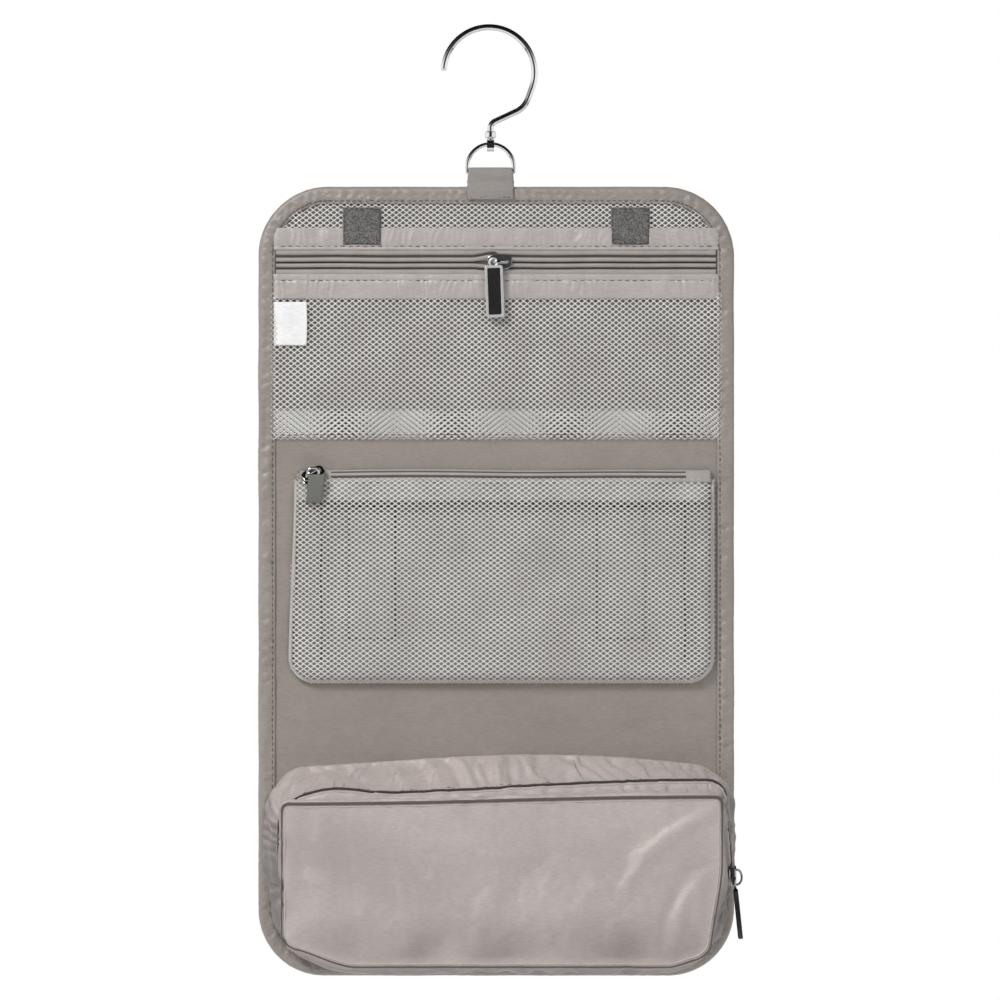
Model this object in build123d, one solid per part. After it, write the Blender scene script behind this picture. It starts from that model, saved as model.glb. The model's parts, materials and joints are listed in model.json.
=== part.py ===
from build123d import *
import math
import os

# A hanging toiletry bag: three padded panels on two soft spines, under a swivel hook.
# The frame is +Z up, the open bag faces -Y, and the origin is the point inside the top of
# the hook that rests on a rail. Lengths are in millimetres and angles in degrees.

# Hook
HOOK_WIRE = 3.2
HOOK_RADIUS = 24.1  # of the wire's centre line
HOOK_OFFSET_X = -0.8  # the crook's centre sits a little left of the stem
HOOK_TIP_ANGLE = 174.0
HOOK_CROOK_ARC = 194.0
HOOK_BACK_RUN = 6.0
HOOK_KNEE_RADIUS = 12.0
HOOK_KNEE_ARC = 45.0
HOOK_STEM_RADIUS = 4.0
HOOK_PIN_RADIUS = 1.0
HOOK_HEAD_RADIUS = 1.6

# Swivel
BARREL_TOP = -53.8
BARREL_HEIGHT = 3.3
BARREL_RADIUS = 2.85
SWIVEL_CLEARANCE = 0.05
YOKE_WIDTH = 3.8
YOKE_HALF_DEPTH = 2.6
YOKE_BOTTOM = -64.2

# Ring and hanging tab
RING_WIRE = 2.2
RING_RADIUS = 12.4
RING_TOP = -60.4  # centre of the wire at the top of the arch
RING_BAR = -75.8  # centre of the straight bar
RING_CORNER = 1.8
WIRE_CLEARANCE = 0.35
TAB_WIDTH = 21.0
TAB_THICKNESS = 1.0
TAB_END = -90.0

# Panels, from the top of the bag to its bottom
BAG_X = 3.0
BAG_WIDTH = 252.0
PANEL_TOP = -83.0
UPPER_FOLD_HIGH = -175.5
UPPER_FOLD_LOW = -229.5
LOWER_FOLD_HIGH = -346.5
LOWER_FOLD_LOW = -386.5
PANEL_BOTTOM = -501.0
TOP_RADIUS = 37.0
BOTTOM_RADIUS = 35.0
FOLD_GAP = 0.3

# Layers of a padded panel, as places in Y
LINING_FRONT = -1.4
LINING_BACK = -0.9
FOAM_BACK = 1.0
SHELL_BACK = 1.6
PAD_BACK = 2.6  # the padding swells the shell between the bound edges
SPINE_BACK = -0.3
BINDING_FRONT = -3.2
BINDING_THICKNESS = 0.8
BINDING_WIDTH = 9.0
CLOTH = 0.6  # thickness of a mesh, a facing or a zip tape
FOAM_MARGIN = 3.0

# Mesh pocket of the top section, as places in Z
STRIP_END = -105.5
FACING_END = -116.6
ZIP_CENTRE = -123.0
ZIP_SLIT = 1.4
LOWER_FACING_START = -129.4
LOWER_FACING_END = -142.0
MESH_END = -215.7
MESH_HEM = 2.0
FASTENER_X = 71.0
FASTENER_SIZE = (21.0, 20.5)
FASTENER_TOP = -93.8
PATCH_CENTRE = -429.0
LABEL_SIZE = (16.8, 23.0)
LABEL_X = -105.8
LABEL_TOP = -144.2

# Zip pull, shared by the top zip and the pocket zip
PULL_WIDTH = 9.0
PULL_LENGTH = 25.0
PULL_THICKNESS = 1.6
PULL_WINDOW = (6.4, 21.0)
TOP_SLIDER_X = 5.0
TOP_PIVOT_Y = -6.8
SLIDER_GAP = 0.3
BRIDGE_ROD = 1.2
EYE_RADIUS = 1.85

# Detachable pouch
POUCH_X = BAG_X + 2.75
POUCH_WIDTH = 223.5
POUCH_TOP = -234.8
POUCH_BOTTOM = -345.0
POUCH_BACK = -2.9
POUCH_FRONT = -9.5
POUCH_SLIT = (-7.1, -5.9)
POUCH_SLIDER_X = BAG_X - 96.0
POUCH_PIVOT = (-11.0, -233.4)
POUCH_TAG = (10.0, 14.5)
STRIP_X = 66.0
STRIP_SIZE = (25.0, 70.0)
STRIP_CENTRE = -287.5

# Deep pocket of the bottom section
REAR_SIDES = (-118.0, 126.5)
REAR_ENDS = (-498.5, -387.5)
REAR_RADII = (26.0, 14.0)
FRONT_SIDES = (-110.0, 120.0)
FRONT_ENDS = (-491.5, -406.0)
FRONT_RADII = (8.0, 5.0)
POCKET_WALL = 1.0
REAR_EDGE = -24.0  # front edge of the rear gusset
FRONT_EDGE = -24.6  # rear edge of the front tray
POCKET_FACE = -47.4
TAPE_WIDTH = 4.0
FLAP_HINGE = -441.5
ZIP_LINE = -401.5
POCKET_SLIDER_Z = -447.0
POCKET_PIVOT = (130.0, -450.2)

NODES = {}


def node(build):
    """Registers a function as the maker of the node that has its name."""
    NODES[build.__name__] = build
    return build


def block(x, y, z):
    """A box between two places along each axis."""
    size = [high - low for low, high in (x, y, z)]
    centre = [(high + low) / 2 for low, high in (x, y, z)]
    return Pos(*centre) * Box(*size)


def plate(outline, y):
    """An outline drawn in X and Z, thickened between two places in Y."""
    return extrude(Plane.XZ.offset(-y[1]) * outline, amount=y[1] - y[0])


def rounded(x, z, radii):
    """A rectangle in X and Z with its own radius for the bottom and the top corners."""
    sheet = Pos((x[0] + x[1]) / 2, (z[0] + z[1]) / 2) * Rectangle(x[1] - x[0], z[1] - z[0])
    sheet = fillet(sheet.vertices().sort_by(Axis.Y)[-2:], radii[1])
    return fillet(sheet.vertices().sort_by(Axis.Y)[:2], radii[0])


def bag_outline(inset=0.0):
    """The outline of the open bag, drawn in by inset on every side."""
    half = BAG_WIDTH / 2 - inset
    sides = (BAG_X - half, BAG_X + half)
    ends = (PANEL_BOTTOM + inset, PANEL_TOP - inset)
    return rounded(sides, ends, (BOTTOM_RADIUS - inset, TOP_RADIUS - inset))


def between(shape, high, low):
    """The stretch of a shape from one fold line down to the next, less half of each gap."""
    reach = BAG_WIDTH
    return shape & block((-reach, reach), (-reach, reach), (low + FOLD_GAP / 2, high - FOLD_GAP / 2))


def panel_layer(high, low, y, inset=BINDING_THICKNESS):
    """One flat layer of a panel."""
    return between(plate(bag_outline(inset), y), high, low)


def binding(high, low, back):
    """The folded tape that covers the raw edges, in front, behind and round the rim."""
    inner = bag_outline(BINDING_WIDTH)
    front = plate(bag_outline() - inner, (BINDING_FRONT, LINING_FRONT))
    rim = plate(bag_outline() - bag_outline(BINDING_THICKNESS), (LINING_FRONT, back))
    rear = plate(bag_outline() - inner, (back, back + BINDING_THICKNESS))
    return between(front + rim + rear, high, low)


def padded_shell(high, low):
    """The outer cloth of a padded section, swollen between its bindings."""
    cloth = panel_layer(high, low, (FOAM_BACK, SHELL_BACK))
    return cloth + panel_layer(high, low, (SHELL_BACK, PAD_BACK), BINDING_WIDTH)


def foam(high, low):
    """The padding, stopped short of the seams."""
    pad = plate(bag_outline(FOAM_MARGIN), (LINING_BACK, FOAM_BACK))
    return between(pad, high - FOAM_MARGIN, low + FOAM_MARGIN)


def cloth_band(high, low):
    """A band of cloth across the mesh pocket, in front of the lining."""
    band = plate(bag_outline(BINDING_WIDTH), (BINDING_FRONT, BINDING_FRONT + CLOTH))
    return band & block((-BAG_WIDTH, BAG_WIDTH), (-BAG_WIDTH, BAG_WIDTH), (low, high))


def pair(x, size, centre_z, y):
    """Two equal patches, left and right of the bag's middle."""
    half_width, half_height = size[0] / 2, size[1] / 2
    z = (centre_z - half_height, centre_z + half_height)
    sides = [BAG_X - x, BAG_X + x]
    return Compound([block((s - half_width, s + half_width), y, z) for s in sides])


# Hook, swivel and ring ------------------------------------------------------------------


def hook_path():
    """The hook's centre line, drawn in X and Z, from its tip to the top of the stem."""
    centre = Vector(HOOK_OFFSET_X, HOOK_WIRE / 2 - HOOK_RADIUS)
    angle = math.radians(HOOK_TIP_ANGLE)
    tip = centre + Vector(math.cos(angle), math.sin(angle)) * HOOK_RADIUS
    crook = JernArc(tip, (math.sin(angle), -math.cos(angle)), HOOK_RADIUS, -HOOK_CROOK_ARC)
    back = Line(crook @ 1, crook @ 1 + (crook % 1) * HOOK_BACK_RUN)
    knee = JernArc(back @ 1, back % 1, HOOK_KNEE_RADIUS, -HOOK_KNEE_ARC)
    heading = knee % 1
    turn = HOOK_STEM_RADIUS * (1 + heading.Y)  # how far the last bend moves across
    reach = ((knee @ 1).X - turn) / -heading.X
    shank = Line(knee @ 1, knee @ 1 + heading * reach)
    bend_arc = 90 - math.degrees(math.asin(-heading.Y))
    bend = JernArc(shank @ 1, heading, HOOK_STEM_RADIUS, bend_arc)
    stem = Line(bend @ 1, Vector((bend @ 1).X, BARREL_TOP + SLIDER_GAP))
    return Wire([crook, back, knee, shank, bend, stem])


@node
def hook():
    path = hook_path()
    wire = sweep(Plane(path @ 0, z_dir=path % 0) * Circle(HOOK_WIRE / 2), path=path)
    wire += Pos(path @ 0) * Sphere(HOOK_WIRE / 2)
    wire = wire.rotate(Axis.X, 90)
    shoulder = BARREL_TOP + SLIDER_GAP
    head_top = BARREL_TOP - 1.2
    pin = Pos(0, 0, (shoulder + head_top) / 2) * Cylinder(HOOK_PIN_RADIUS, shoulder - head_top + 0.2)
    head = Pos(0, 0, head_top - 0.5) * Cylinder(HOOK_HEAD_RADIUS, 1.0)
    return wire + pin + head


@node
def swivel_barrel():
    top, height = BARREL_TOP, BARREL_HEIGHT
    body = Pos(0, 0, top - height / 2) * Cylinder(BARREL_RADIUS, height)
    body = chamfer(body.edges().filter_by(GeomType.CIRCLE), 0.4)
    throat = Pos(0, 0, top) * Cylinder(HOOK_PIN_RADIUS + SWIVEL_CLEARANCE, 3.0)
    cavity = Pos(0, 0, top - 1.8) * Cylinder(HOOK_HEAD_RADIUS + 0.25, 1.6)
    return body - throat - cavity


@node
def swivel_yoke():
    barrel_bottom = BARREL_TOP - BARREL_HEIGHT
    neck_top, neck_bottom = barrel_bottom, RING_TOP + 2.2
    neck = Pos(0, 0, (neck_top + neck_bottom) / 2) * Cone(1.0, 1.7, neck_top - neck_bottom)
    height = RING_TOP + YOKE_HALF_DEPTH - YOKE_BOTTOM
    strap = Pos(0, 0, YOKE_BOTTOM + height / 2) * Box(YOKE_WIDTH, 2 * YOKE_HALF_DEPTH, height)
    strap = fillet(strap.edges().filter_by(Axis.X), 2.2)
    eye = Pos(0, 0, RING_TOP) * Rot(0, 90, 0) * Cylinder(RING_WIRE / 2 + WIRE_CLEARANCE, 10)
    return neck + strap - eye


@node
def d_ring():
    leg = RING_RADIUS
    shoulder = RING_TOP - RING_RADIUS
    arch = ThreePointArc((-leg, shoulder), (0, RING_TOP), (leg, shoulder))
    right = Line((leg, shoulder), (leg, RING_BAR + RING_CORNER))
    right_corner = JernArc(right @ 1, (0, -1), RING_CORNER, -90)
    bar = Line(right_corner @ 1, (RING_CORNER - leg, RING_BAR))
    left_corner = JernArc(bar @ 1, (-1, 0), RING_CORNER, -90)
    left = Line(left_corner @ 1, arch @ 0)
    path = Wire([arch, right, right_corner, bar, left_corner, left])
    ring = sweep(Plane(arch @ 0, z_dir=arch % 0) * Circle(RING_WIRE / 2), path=path)
    return ring.rotate(Axis.X, 90)


# Top section ----------------------------------------------------------------------------


@node
def top_shell():
    return padded_shell(PANEL_TOP + 1, UPPER_FOLD_HIGH)


@node
def top_foam():
    return foam(PANEL_TOP + 1, UPPER_FOLD_HIGH)


@node
def top_lining():
    return panel_layer(PANEL_TOP + 1, UPPER_FOLD_HIGH, (LINING_FRONT, LINING_BACK))


@node
def top_binding():
    return binding(PANEL_TOP + 1, UPPER_FOLD_HIGH, SHELL_BACK)


def tab_side(profile):
    """A profile of the tab, drawn in Y and Z, made as wide as the webbing."""
    return extrude(Plane.YZ.offset(-TAB_WIDTH / 2) * profile, amount=TAB_WIDTH, dir=(1, 0, 0))


@node
def hanging_tab():
    """A loop of webbing round the ring's bar, sewn down in front and behind."""
    inner = RING_WIRE / 2 + WIRE_CLEARANCE
    outer = inner + TAB_THICKNESS
    seam = PANEL_TOP + 1
    crown = Pos(0, RING_BAR) * (Circle(outer) - Circle(inner))
    lap = 0.4
    crown &= Pos(0, RING_BAR + outer / 2 - lap / 2) * Rectangle(2 * outer, outer + lap)
    tab = tab_side(crown)
    for way, face in ((-1, -BINDING_FRONT), (1, SHELL_BACK + BINDING_THICKNESS)):
        leg = [
            (inner, RING_BAR),
            (outer, RING_BAR),
            (face + TAB_THICKNESS, seam),
            (face + TAB_THICKNESS, TAB_END),
            (face, TAB_END),
            (face, seam),
        ]
        tab += tab_side(Polygon(*[(way * y, z) for y, z in leg], align=None))
    return tab


@node
def top_mesh_strip():
    return cloth_band(PANEL_TOP, STRIP_END)


@node
def zip_facing_upper():
    return cloth_band(STRIP_END, FACING_END)


@node
def top_zip_upper_tape():
    return cloth_band(FACING_END, ZIP_CENTRE + ZIP_SLIT / 2)


@node
def top_zip_lower_tape():
    return cloth_band(ZIP_CENTRE - ZIP_SLIT / 2, LOWER_FACING_START)


@node
def zip_facing_lower():
    return cloth_band(LOWER_FACING_START, LOWER_FACING_END)


@node
def top_mesh_upper():
    return cloth_band(LOWER_FACING_END, UPPER_FOLD_HIGH + FOLD_GAP / 2)


@node
def top_fastener_pads():
    centre = FASTENER_TOP - FASTENER_SIZE[1] / 2
    return pair(FASTENER_X, FASTENER_SIZE, centre, (BINDING_FRONT - CLOTH, BINDING_FRONT))


@node
def care_label():
    half = LABEL_SIZE[0] / 2
    x = (LABEL_X - half, LABEL_X + half)
    return block(x, (BINDING_FRONT - 0.4, BINDING_FRONT), (LABEL_TOP - LABEL_SIZE[1], LABEL_TOP))


# Zip slider and pull of the mesh pocket -------------------------------------------------


@node
def top_slider_body():
    x, z = TOP_SLIDER_X, ZIP_CENTRE
    tape_front, tape_back = BINDING_FRONT, BINDING_FRONT + CLOTH
    face = (tape_front - SLIDER_GAP - 1.0, tape_front - SLIDER_GAP)
    back = (tape_back + SLIDER_GAP, LINING_FRONT - SLIDER_GAP)
    body = block((x - 6.5, x + 6.5), face, (z - 4, z + 4))
    body = fillet(body.edges().filter_by(Axis.Y), 1.5)
    body += block((x - 5, x + 5), back, (z - 3, z + 3))
    body += block((x - 1.5, x + 1.5), (face[0] + 0.5, back[1]), (z - 0.35, z + 0.35))
    for side in (-1, 1):
        cheek_x = x + side * 3.0
        body += block((cheek_x - 0.5, cheek_x + 0.5), (TOP_PIVOT_Y - 0.7, face[1]), (z - 0.9, z + 0.9))
    rod = Pos(x, TOP_PIVOT_Y, z) * Rot(0, 90, 0) * Cylinder(BRIDGE_ROD / 2, 6.4)
    return body + rod


def pull_frame():
    """The pull's metal frame, hanging from its pivot at the origin and facing -Y."""
    frame_top = -4.0
    eye = Rot(0, 90, 0) * Cylinder(EYE_RADIUS, 4.2)
    neck = block((-2.1, 2.1), (-PULL_THICKNESS / 2, PULL_THICKNESS / 2), (frame_top - 0.5, 0))
    half = PULL_WIDTH / 2
    frame = block((-half, half), (-PULL_THICKNESS / 2, PULL_THICKNESS / 2), (frame_top - PULL_LENGTH, frame_top))
    frame = fillet(frame.edges().filter_by(Axis.Y), 1.5)
    bore = Rot(0, 90, 0) * Cylinder(BRIDGE_ROD / 2 + 0.35, 10)
    return frame + neck + eye - bore - pull_insert()


def pull_insert():
    """The rubber insert in the frame's window."""
    centre = -4.0 - PULL_LENGTH / 2
    insert = Pos(0, 0, centre) * Box(PULL_WINDOW[0], PULL_THICKNESS, PULL_WINDOW[1])
    return fillet(insert.edges().filter_by(Axis.Y), 1.0)


@node
def top_pull_frame():
    return Pos(TOP_SLIDER_X, TOP_PIVOT_Y, ZIP_CENTRE) * pull_frame()


@node
def top_pull_insert():
    return Pos(TOP_SLIDER_X, TOP_PIVOT_Y, ZIP_CENTRE) * pull_insert()


# Upper spine ----------------------------------------------------------------------------


@node
def upper_spine_shell():
    return panel_layer(UPPER_FOLD_HIGH, UPPER_FOLD_LOW, (LINING_BACK, SPINE_BACK))


@node
def upper_spine_lining():
    return panel_layer(UPPER_FOLD_HIGH, UPPER_FOLD_LOW, (LINING_FRONT, LINING_BACK))


@node
def upper_spine_binding():
    return binding(UPPER_FOLD_HIGH, UPPER_FOLD_LOW, SPINE_BACK)


@node
def top_mesh_lower():
    mesh = cloth_band(UPPER_FOLD_HIGH - FOLD_GAP / 2, MESH_END)
    half = BAG_WIDTH / 2 - BINDING_WIDTH
    hem = block((BAG_X - half, BAG_X + half), (BINDING_FRONT, LINING_FRONT), (MESH_END, MESH_END + MESH_HEM))
    return mesh + hem


# Middle section and its pouch -----------------------------------------------------------


@node
def middle_shell():
    return padded_shell(UPPER_FOLD_LOW, LOWER_FOLD_HIGH)


@node
def middle_foam():
    return foam(UPPER_FOLD_LOW, LOWER_FOLD_HIGH)


@node
def middle_lining():
    return panel_layer(UPPER_FOLD_LOW, LOWER_FOLD_HIGH, (LINING_FRONT, LINING_BACK))


@node
def middle_binding():
    return binding(UPPER_FOLD_LOW, LOWER_FOLD_HIGH, SHELL_BACK)


@node
def pouch_loop_strips():
    return pair(STRIP_X, STRIP_SIZE, STRIP_CENTRE, (LINING_FRONT - 0.6, LINING_FRONT))


@node
def pouch_hook_strips():
    return pair(STRIP_X, STRIP_SIZE, STRIP_CENTRE, (POUCH_BACK, POUCH_BACK + 0.6))


def pouch_span(inset=0.0):
    """The pouch's sides in X, drawn in by inset."""
    half = POUCH_WIDTH / 2 - inset
    return (POUCH_X - half, POUCH_X + half)


@node
def pouch_back():
    return block(pouch_span(), (POUCH_BACK - CLOTH, POUCH_BACK), (POUCH_BOTTOM, POUCH_TOP - CLOTH))


@node
def pouch_front_mesh():
    """A shallow tray of mesh, open behind and at the top."""
    tray = block(pouch_span(), (POUCH_FRONT, POUCH_BACK - CLOTH), (POUCH_BOTTOM, POUCH_TOP - CLOTH))
    hollow = (POUCH_FRONT + CLOTH, POUCH_BACK)
    return tray - block(pouch_span(CLOTH), hollow, (POUCH_BOTTOM + CLOTH, POUCH_TOP))


@node
def pouch_seam_tape():
    """The tape that binds the mesh's seam inside the sides and along the bottom."""
    face = POUCH_FRONT + CLOTH
    outer = block(pouch_span(7.5), (face, face + 0.4), (POUCH_BOTTOM + 1, POUCH_TOP - 9))
    inner = block(pouch_span(9.5), (face, face + 0.4), (POUCH_BOTTOM + 3, POUCH_TOP - 11))
    return outer - inner


@node
def pouch_zip_back_tape():
    return block(pouch_span(), (POUCH_SLIT[1], POUCH_BACK), (POUCH_TOP - CLOTH, POUCH_TOP))


@node
def pouch_zip_front_tape():
    return block(pouch_span(), (POUCH_FRONT, POUCH_SLIT[0]), (POUCH_TOP - CLOTH, POUCH_TOP))


@node
def pouch_slider_body():
    x = POUCH_SLIDER_X
    slit = (POUCH_SLIT[0] + POUCH_SLIT[1]) / 2
    pivot_y, pivot_z = POUCH_PIVOT
    top = (POUCH_TOP + SLIDER_GAP, POUCH_TOP + SLIDER_GAP + 1.0)
    under = (POUCH_TOP - CLOTH - SLIDER_GAP - 0.8, POUCH_TOP - CLOTH - SLIDER_GAP)
    body = block((x - 5.5, x + 5.5), (slit - 2.8, slit + 2.4), top)
    body = fillet(body.edges().filter_by(Axis.Z), 1.2)
    body += block((x - 4.5, x + 4.5), (slit - 1.8, slit + 1.8), under)
    body += block((x - 1.5, x + 1.5), (slit - 0.3, slit + 0.3), (under[0], top[1]))
    for side in (-1, 1):
        cheek_x = x + side * 2.6
        body += block((cheek_x - 0.4, cheek_x + 0.4), (pivot_y - 0.6, slit - 2.0), (top[0], pivot_z + 0.6))
    rod = Pos(x, pivot_y, pivot_z) * Rot(0, 90, 0) * Cylinder(0.5, 5.6)
    return body + rod


@node
def pouch_pull_link():
    """The metal eye that carries the pouch's cloth tag."""
    link = Rot(0, 90, 0) * Cylinder(1.4, 3.8)
    link += block((-1.9, 1.9), (-0.6, 0.6), (-3.4, 0))
    link -= Rot(0, 90, 0) * Cylinder(0.85, 10)
    return Pos(POUCH_SLIDER_X, *POUCH_PIVOT) * link


@node
def pouch_pull_tag():
    width, length = POUCH_TAG
    tag = block((-width / 2, width / 2), (-0.6, 0.6), (-3.4 - length, -3.4))
    tag = fillet(tag.edges().filter_by(Axis.Y), 1.0)
    return Pos(POUCH_SLIDER_X, *POUCH_PIVOT) * tag


# Lower spine ----------------------------------------------------------------------------


@node
def lower_spine_shell():
    return panel_layer(LOWER_FOLD_HIGH, LOWER_FOLD_LOW, (LINING_BACK, SPINE_BACK))


@node
def lower_spine_lining():
    return panel_layer(LOWER_FOLD_HIGH, LOWER_FOLD_LOW, (LINING_FRONT, LINING_BACK))


@node
def lower_spine_binding():
    return binding(LOWER_FOLD_HIGH, LOWER_FOLD_LOW, SPINE_BACK)


# Bottom section and its deep pocket -----------------------------------------------------


@node
def bottom_shell():
    return padded_shell(LOWER_FOLD_LOW, PANEL_BOTTOM - 1)


@node
def bottom_foam():
    return foam(LOWER_FOLD_LOW, PANEL_BOTTOM - 1)


@node
def bottom_lining():
    return panel_layer(LOWER_FOLD_LOW, PANEL_BOTTOM - 1, (LINING_FRONT, LINING_BACK))


@node
def bottom_binding():
    return binding(LOWER_FOLD_LOW, PANEL_BOTTOM - 1, SHELL_BACK)


@node
def back_fastener_patches():
    return pair(FASTENER_X, FASTENER_SIZE, PATCH_CENTRE, (PAD_BACK, PAD_BACK + CLOTH))


def rear_outline(inset=0.0):
    """The outline of the gusset's rear half, drawn in by inset."""
    sides = (REAR_SIDES[0] + inset, REAR_SIDES[1] - inset)
    ends = (REAR_ENDS[0] + inset, REAR_ENDS[1] - inset)
    return rounded(sides, ends, [radius - inset for radius in REAR_RADII])


def front_outline(inset=0.0):
    """The outline of the pocket's front tray, drawn in by inset."""
    sides = (FRONT_SIDES[0] + inset, FRONT_SIDES[1] - inset)
    ends = (FRONT_ENDS[0] + inset, FRONT_ENDS[1] - inset)
    return rounded(sides, ends, [radius - inset for radius in FRONT_RADII])


def above(shape, z):
    """The part of a shape above a height."""
    return shape & block((-BAG_WIDTH, BAG_WIDTH), (-BAG_WIDTH, BAG_WIDTH), (z, 0))


def below(shape, z):
    """The part of a shape below a height."""
    return shape & block((-BAG_WIDTH, BAG_WIDTH), (-BAG_WIDTH, BAG_WIDTH), (2 * PANEL_BOTTOM, z))


def rear_band(y):
    """A band of the rear gusset's wall."""
    return plate(rear_outline() - rear_outline(POCKET_WALL), y)


def rear_tape_band():
    """The front edge of the rear wall, over the stretch that the zip follows."""
    return above(rear_band((REAR_EDGE, REAR_EDGE + TAPE_WIDTH)), FLAP_HINGE)


@node
def pocket_rear_gusset():
    """The fixed half of the pocket's side wall, standing on the binding and the lining."""
    wall = rear_band((REAR_EDGE, BINDING_FRONT)) - rear_tape_band()
    foot = rear_band((BINDING_FRONT, LINING_FRONT))
    foot &= plate(bag_outline(BINDING_WIDTH), (BINDING_FRONT, LINING_FRONT))
    flange_x = (REAR_SIDES[0] + POCKET_WALL, FRONT_SIDES[0] - CLOTH)
    flange = block(flange_x, (REAR_EDGE, REAR_EDGE + 0.8), (REAR_ENDS[0] + REAR_RADII[0], FLAP_HINGE))
    return wall + foot + flange


@node
def pocket_zip_rear_tape():
    """The zip's fixed tape: round the wall's edge, and across the top down to the zip."""
    opening_x = (FRONT_SIDES[0] - CLOTH, FRONT_SIDES[1] + CLOTH)
    flange = plate(rear_outline(), (REAR_EDGE, REAR_EDGE + 0.8))
    flange &= block((REAR_SIDES[0], opening_x[1]), (2 * REAR_EDGE, 0), (FLAP_HINGE, REAR_ENDS[1]))
    opening = block(opening_x, (2 * REAR_EDGE, 0), (PANEL_BOTTOM, ZIP_LINE + 0.3))
    return rear_tape_band() + (flange - opening)


def front_wall():
    """The whole side wall of the front tray."""
    return plate(front_outline() - front_outline(POCKET_WALL), (POCKET_FACE + CLOTH, FRONT_EDGE))


@node
def pocket_front_lower():
    return below(plate(front_outline(), (POCKET_FACE, POCKET_FACE + CLOTH)), FLAP_HINGE - 0.3)


@node
def pocket_lower_gusset():
    return below(front_wall(), FLAP_HINGE - 0.3)


@node
def pocket_front_upper():
    return above(plate(front_outline(), (POCKET_FACE, POCKET_FACE + CLOTH)), FLAP_HINGE)


@node
def pocket_flap_gusset():
    return above(front_wall(), FLAP_HINGE)


@node
def pocket_zip_front_tape():
    """The zip's moving tape, which stands up from the flap's top edge to the zip."""
    inset = FRONT_RADII[1]
    x = (FRONT_SIDES[0] + inset, FRONT_SIDES[1] - inset)
    z = (FRONT_ENDS[1] - POCKET_WALL, ZIP_LINE - 0.3)
    return block(x, (FRONT_EDGE, FRONT_EDGE + CLOTH), z)


@node
def pocket_slider_body():
    """The slider, clipped over the front edge of the rear wall, with its pull's bridge."""
    wall = REAR_SIDES[1]
    outer = (wall + SLIDER_GAP, wall + SLIDER_GAP + 1.2)
    inner = (wall - POCKET_WALL - 1.6, wall - POCKET_WALL - 0.4)
    z = (POCKET_SLIDER_Z - 6, POCKET_SLIDER_Z + 6)
    body = block(outer, (REAR_EDGE - 4, REAR_EDGE + 3.5), z)
    body = fillet(body.edges().filter_by(Axis.X), 1.5)
    body += block(inner, (REAR_EDGE - 3, REAR_EDGE + 2), (z[0] + 1, z[1] - 1))
    body += block((inner[0], outer[1]), (REAR_EDGE - 1.6, REAR_EDGE - 0.4), (z[0] + 3, z[1] - 3))
    reach = POCKET_PIVOT[0] + 2.4
    mid = REAR_EDGE - 0.3
    bridge = block((outer[0], reach), (mid - 0.7, mid + 0.7), (z[0] + 0.6, z[1] - 3.4))
    bridge -= block((outer[1], reach - 1.2), (mid - 1, mid + 1), (z[0] + 1.8, z[1] - 4.6))
    return body + bridge


def side_pull(part):
    """A pull turned to face +X, its pivot at the bottom of the pocket slider's bridge."""
    return Pos(POCKET_PIVOT[0], REAR_EDGE - 0.3, POCKET_PIVOT[1]) * part


@node
def pocket_pull_frame():
    half, thick = PULL_WIDTH / 2, PULL_THICKNESS / 2
    top = -4.0
    frame = block((-thick, thick), (-half, half), (top - PULL_LENGTH, top))
    frame = fillet(frame.edges().filter_by(Axis.X), 1.5)
    bar = Rot(90, 0, 0) * Cylinder(0.6, 6.0)
    for side in (-1, 1):
        arm = (side * 2.4 - 0.6, side * 2.4 + 0.6)
        frame += block((-0.6, 0.6), arm, (top - 0.5, 0))
    return side_pull(frame + bar - Rot(0, 0, 90) * pull_insert())


@node
def pocket_pull_insert():
    return side_pull(Rot(0, 0, 90) * pull_insert())


os.makedirs("parts", exist_ok=True)
for name, build in NODES.items():
    shape = build()
    export_step(shape, f"parts/{name}.step")
    print(name, round(shape.volume, 1))
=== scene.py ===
import json
import math

import bpy
import numpy as np
from mathutils import Matrix, Vector
from mathutils.geometry import delaunay_2d_cdt


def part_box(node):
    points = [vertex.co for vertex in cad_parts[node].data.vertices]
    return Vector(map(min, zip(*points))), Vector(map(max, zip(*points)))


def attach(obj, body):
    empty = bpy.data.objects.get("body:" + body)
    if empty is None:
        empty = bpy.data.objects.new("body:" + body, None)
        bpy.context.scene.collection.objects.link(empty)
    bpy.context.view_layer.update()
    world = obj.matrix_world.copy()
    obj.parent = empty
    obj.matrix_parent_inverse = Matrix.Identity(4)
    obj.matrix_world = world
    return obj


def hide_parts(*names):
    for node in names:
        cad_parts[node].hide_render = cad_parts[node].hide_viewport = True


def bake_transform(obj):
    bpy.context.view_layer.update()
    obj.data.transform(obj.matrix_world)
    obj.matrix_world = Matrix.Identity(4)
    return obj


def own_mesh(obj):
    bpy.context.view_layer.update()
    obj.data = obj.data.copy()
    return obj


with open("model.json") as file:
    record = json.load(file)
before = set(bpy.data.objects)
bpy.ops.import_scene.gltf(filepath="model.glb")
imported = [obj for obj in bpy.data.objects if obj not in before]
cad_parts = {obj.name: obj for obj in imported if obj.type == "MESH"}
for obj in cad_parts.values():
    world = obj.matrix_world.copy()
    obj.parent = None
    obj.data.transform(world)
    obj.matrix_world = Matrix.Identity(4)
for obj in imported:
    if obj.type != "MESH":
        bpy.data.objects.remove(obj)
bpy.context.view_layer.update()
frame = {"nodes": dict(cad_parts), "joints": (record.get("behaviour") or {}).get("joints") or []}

MM = 0.001

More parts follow.
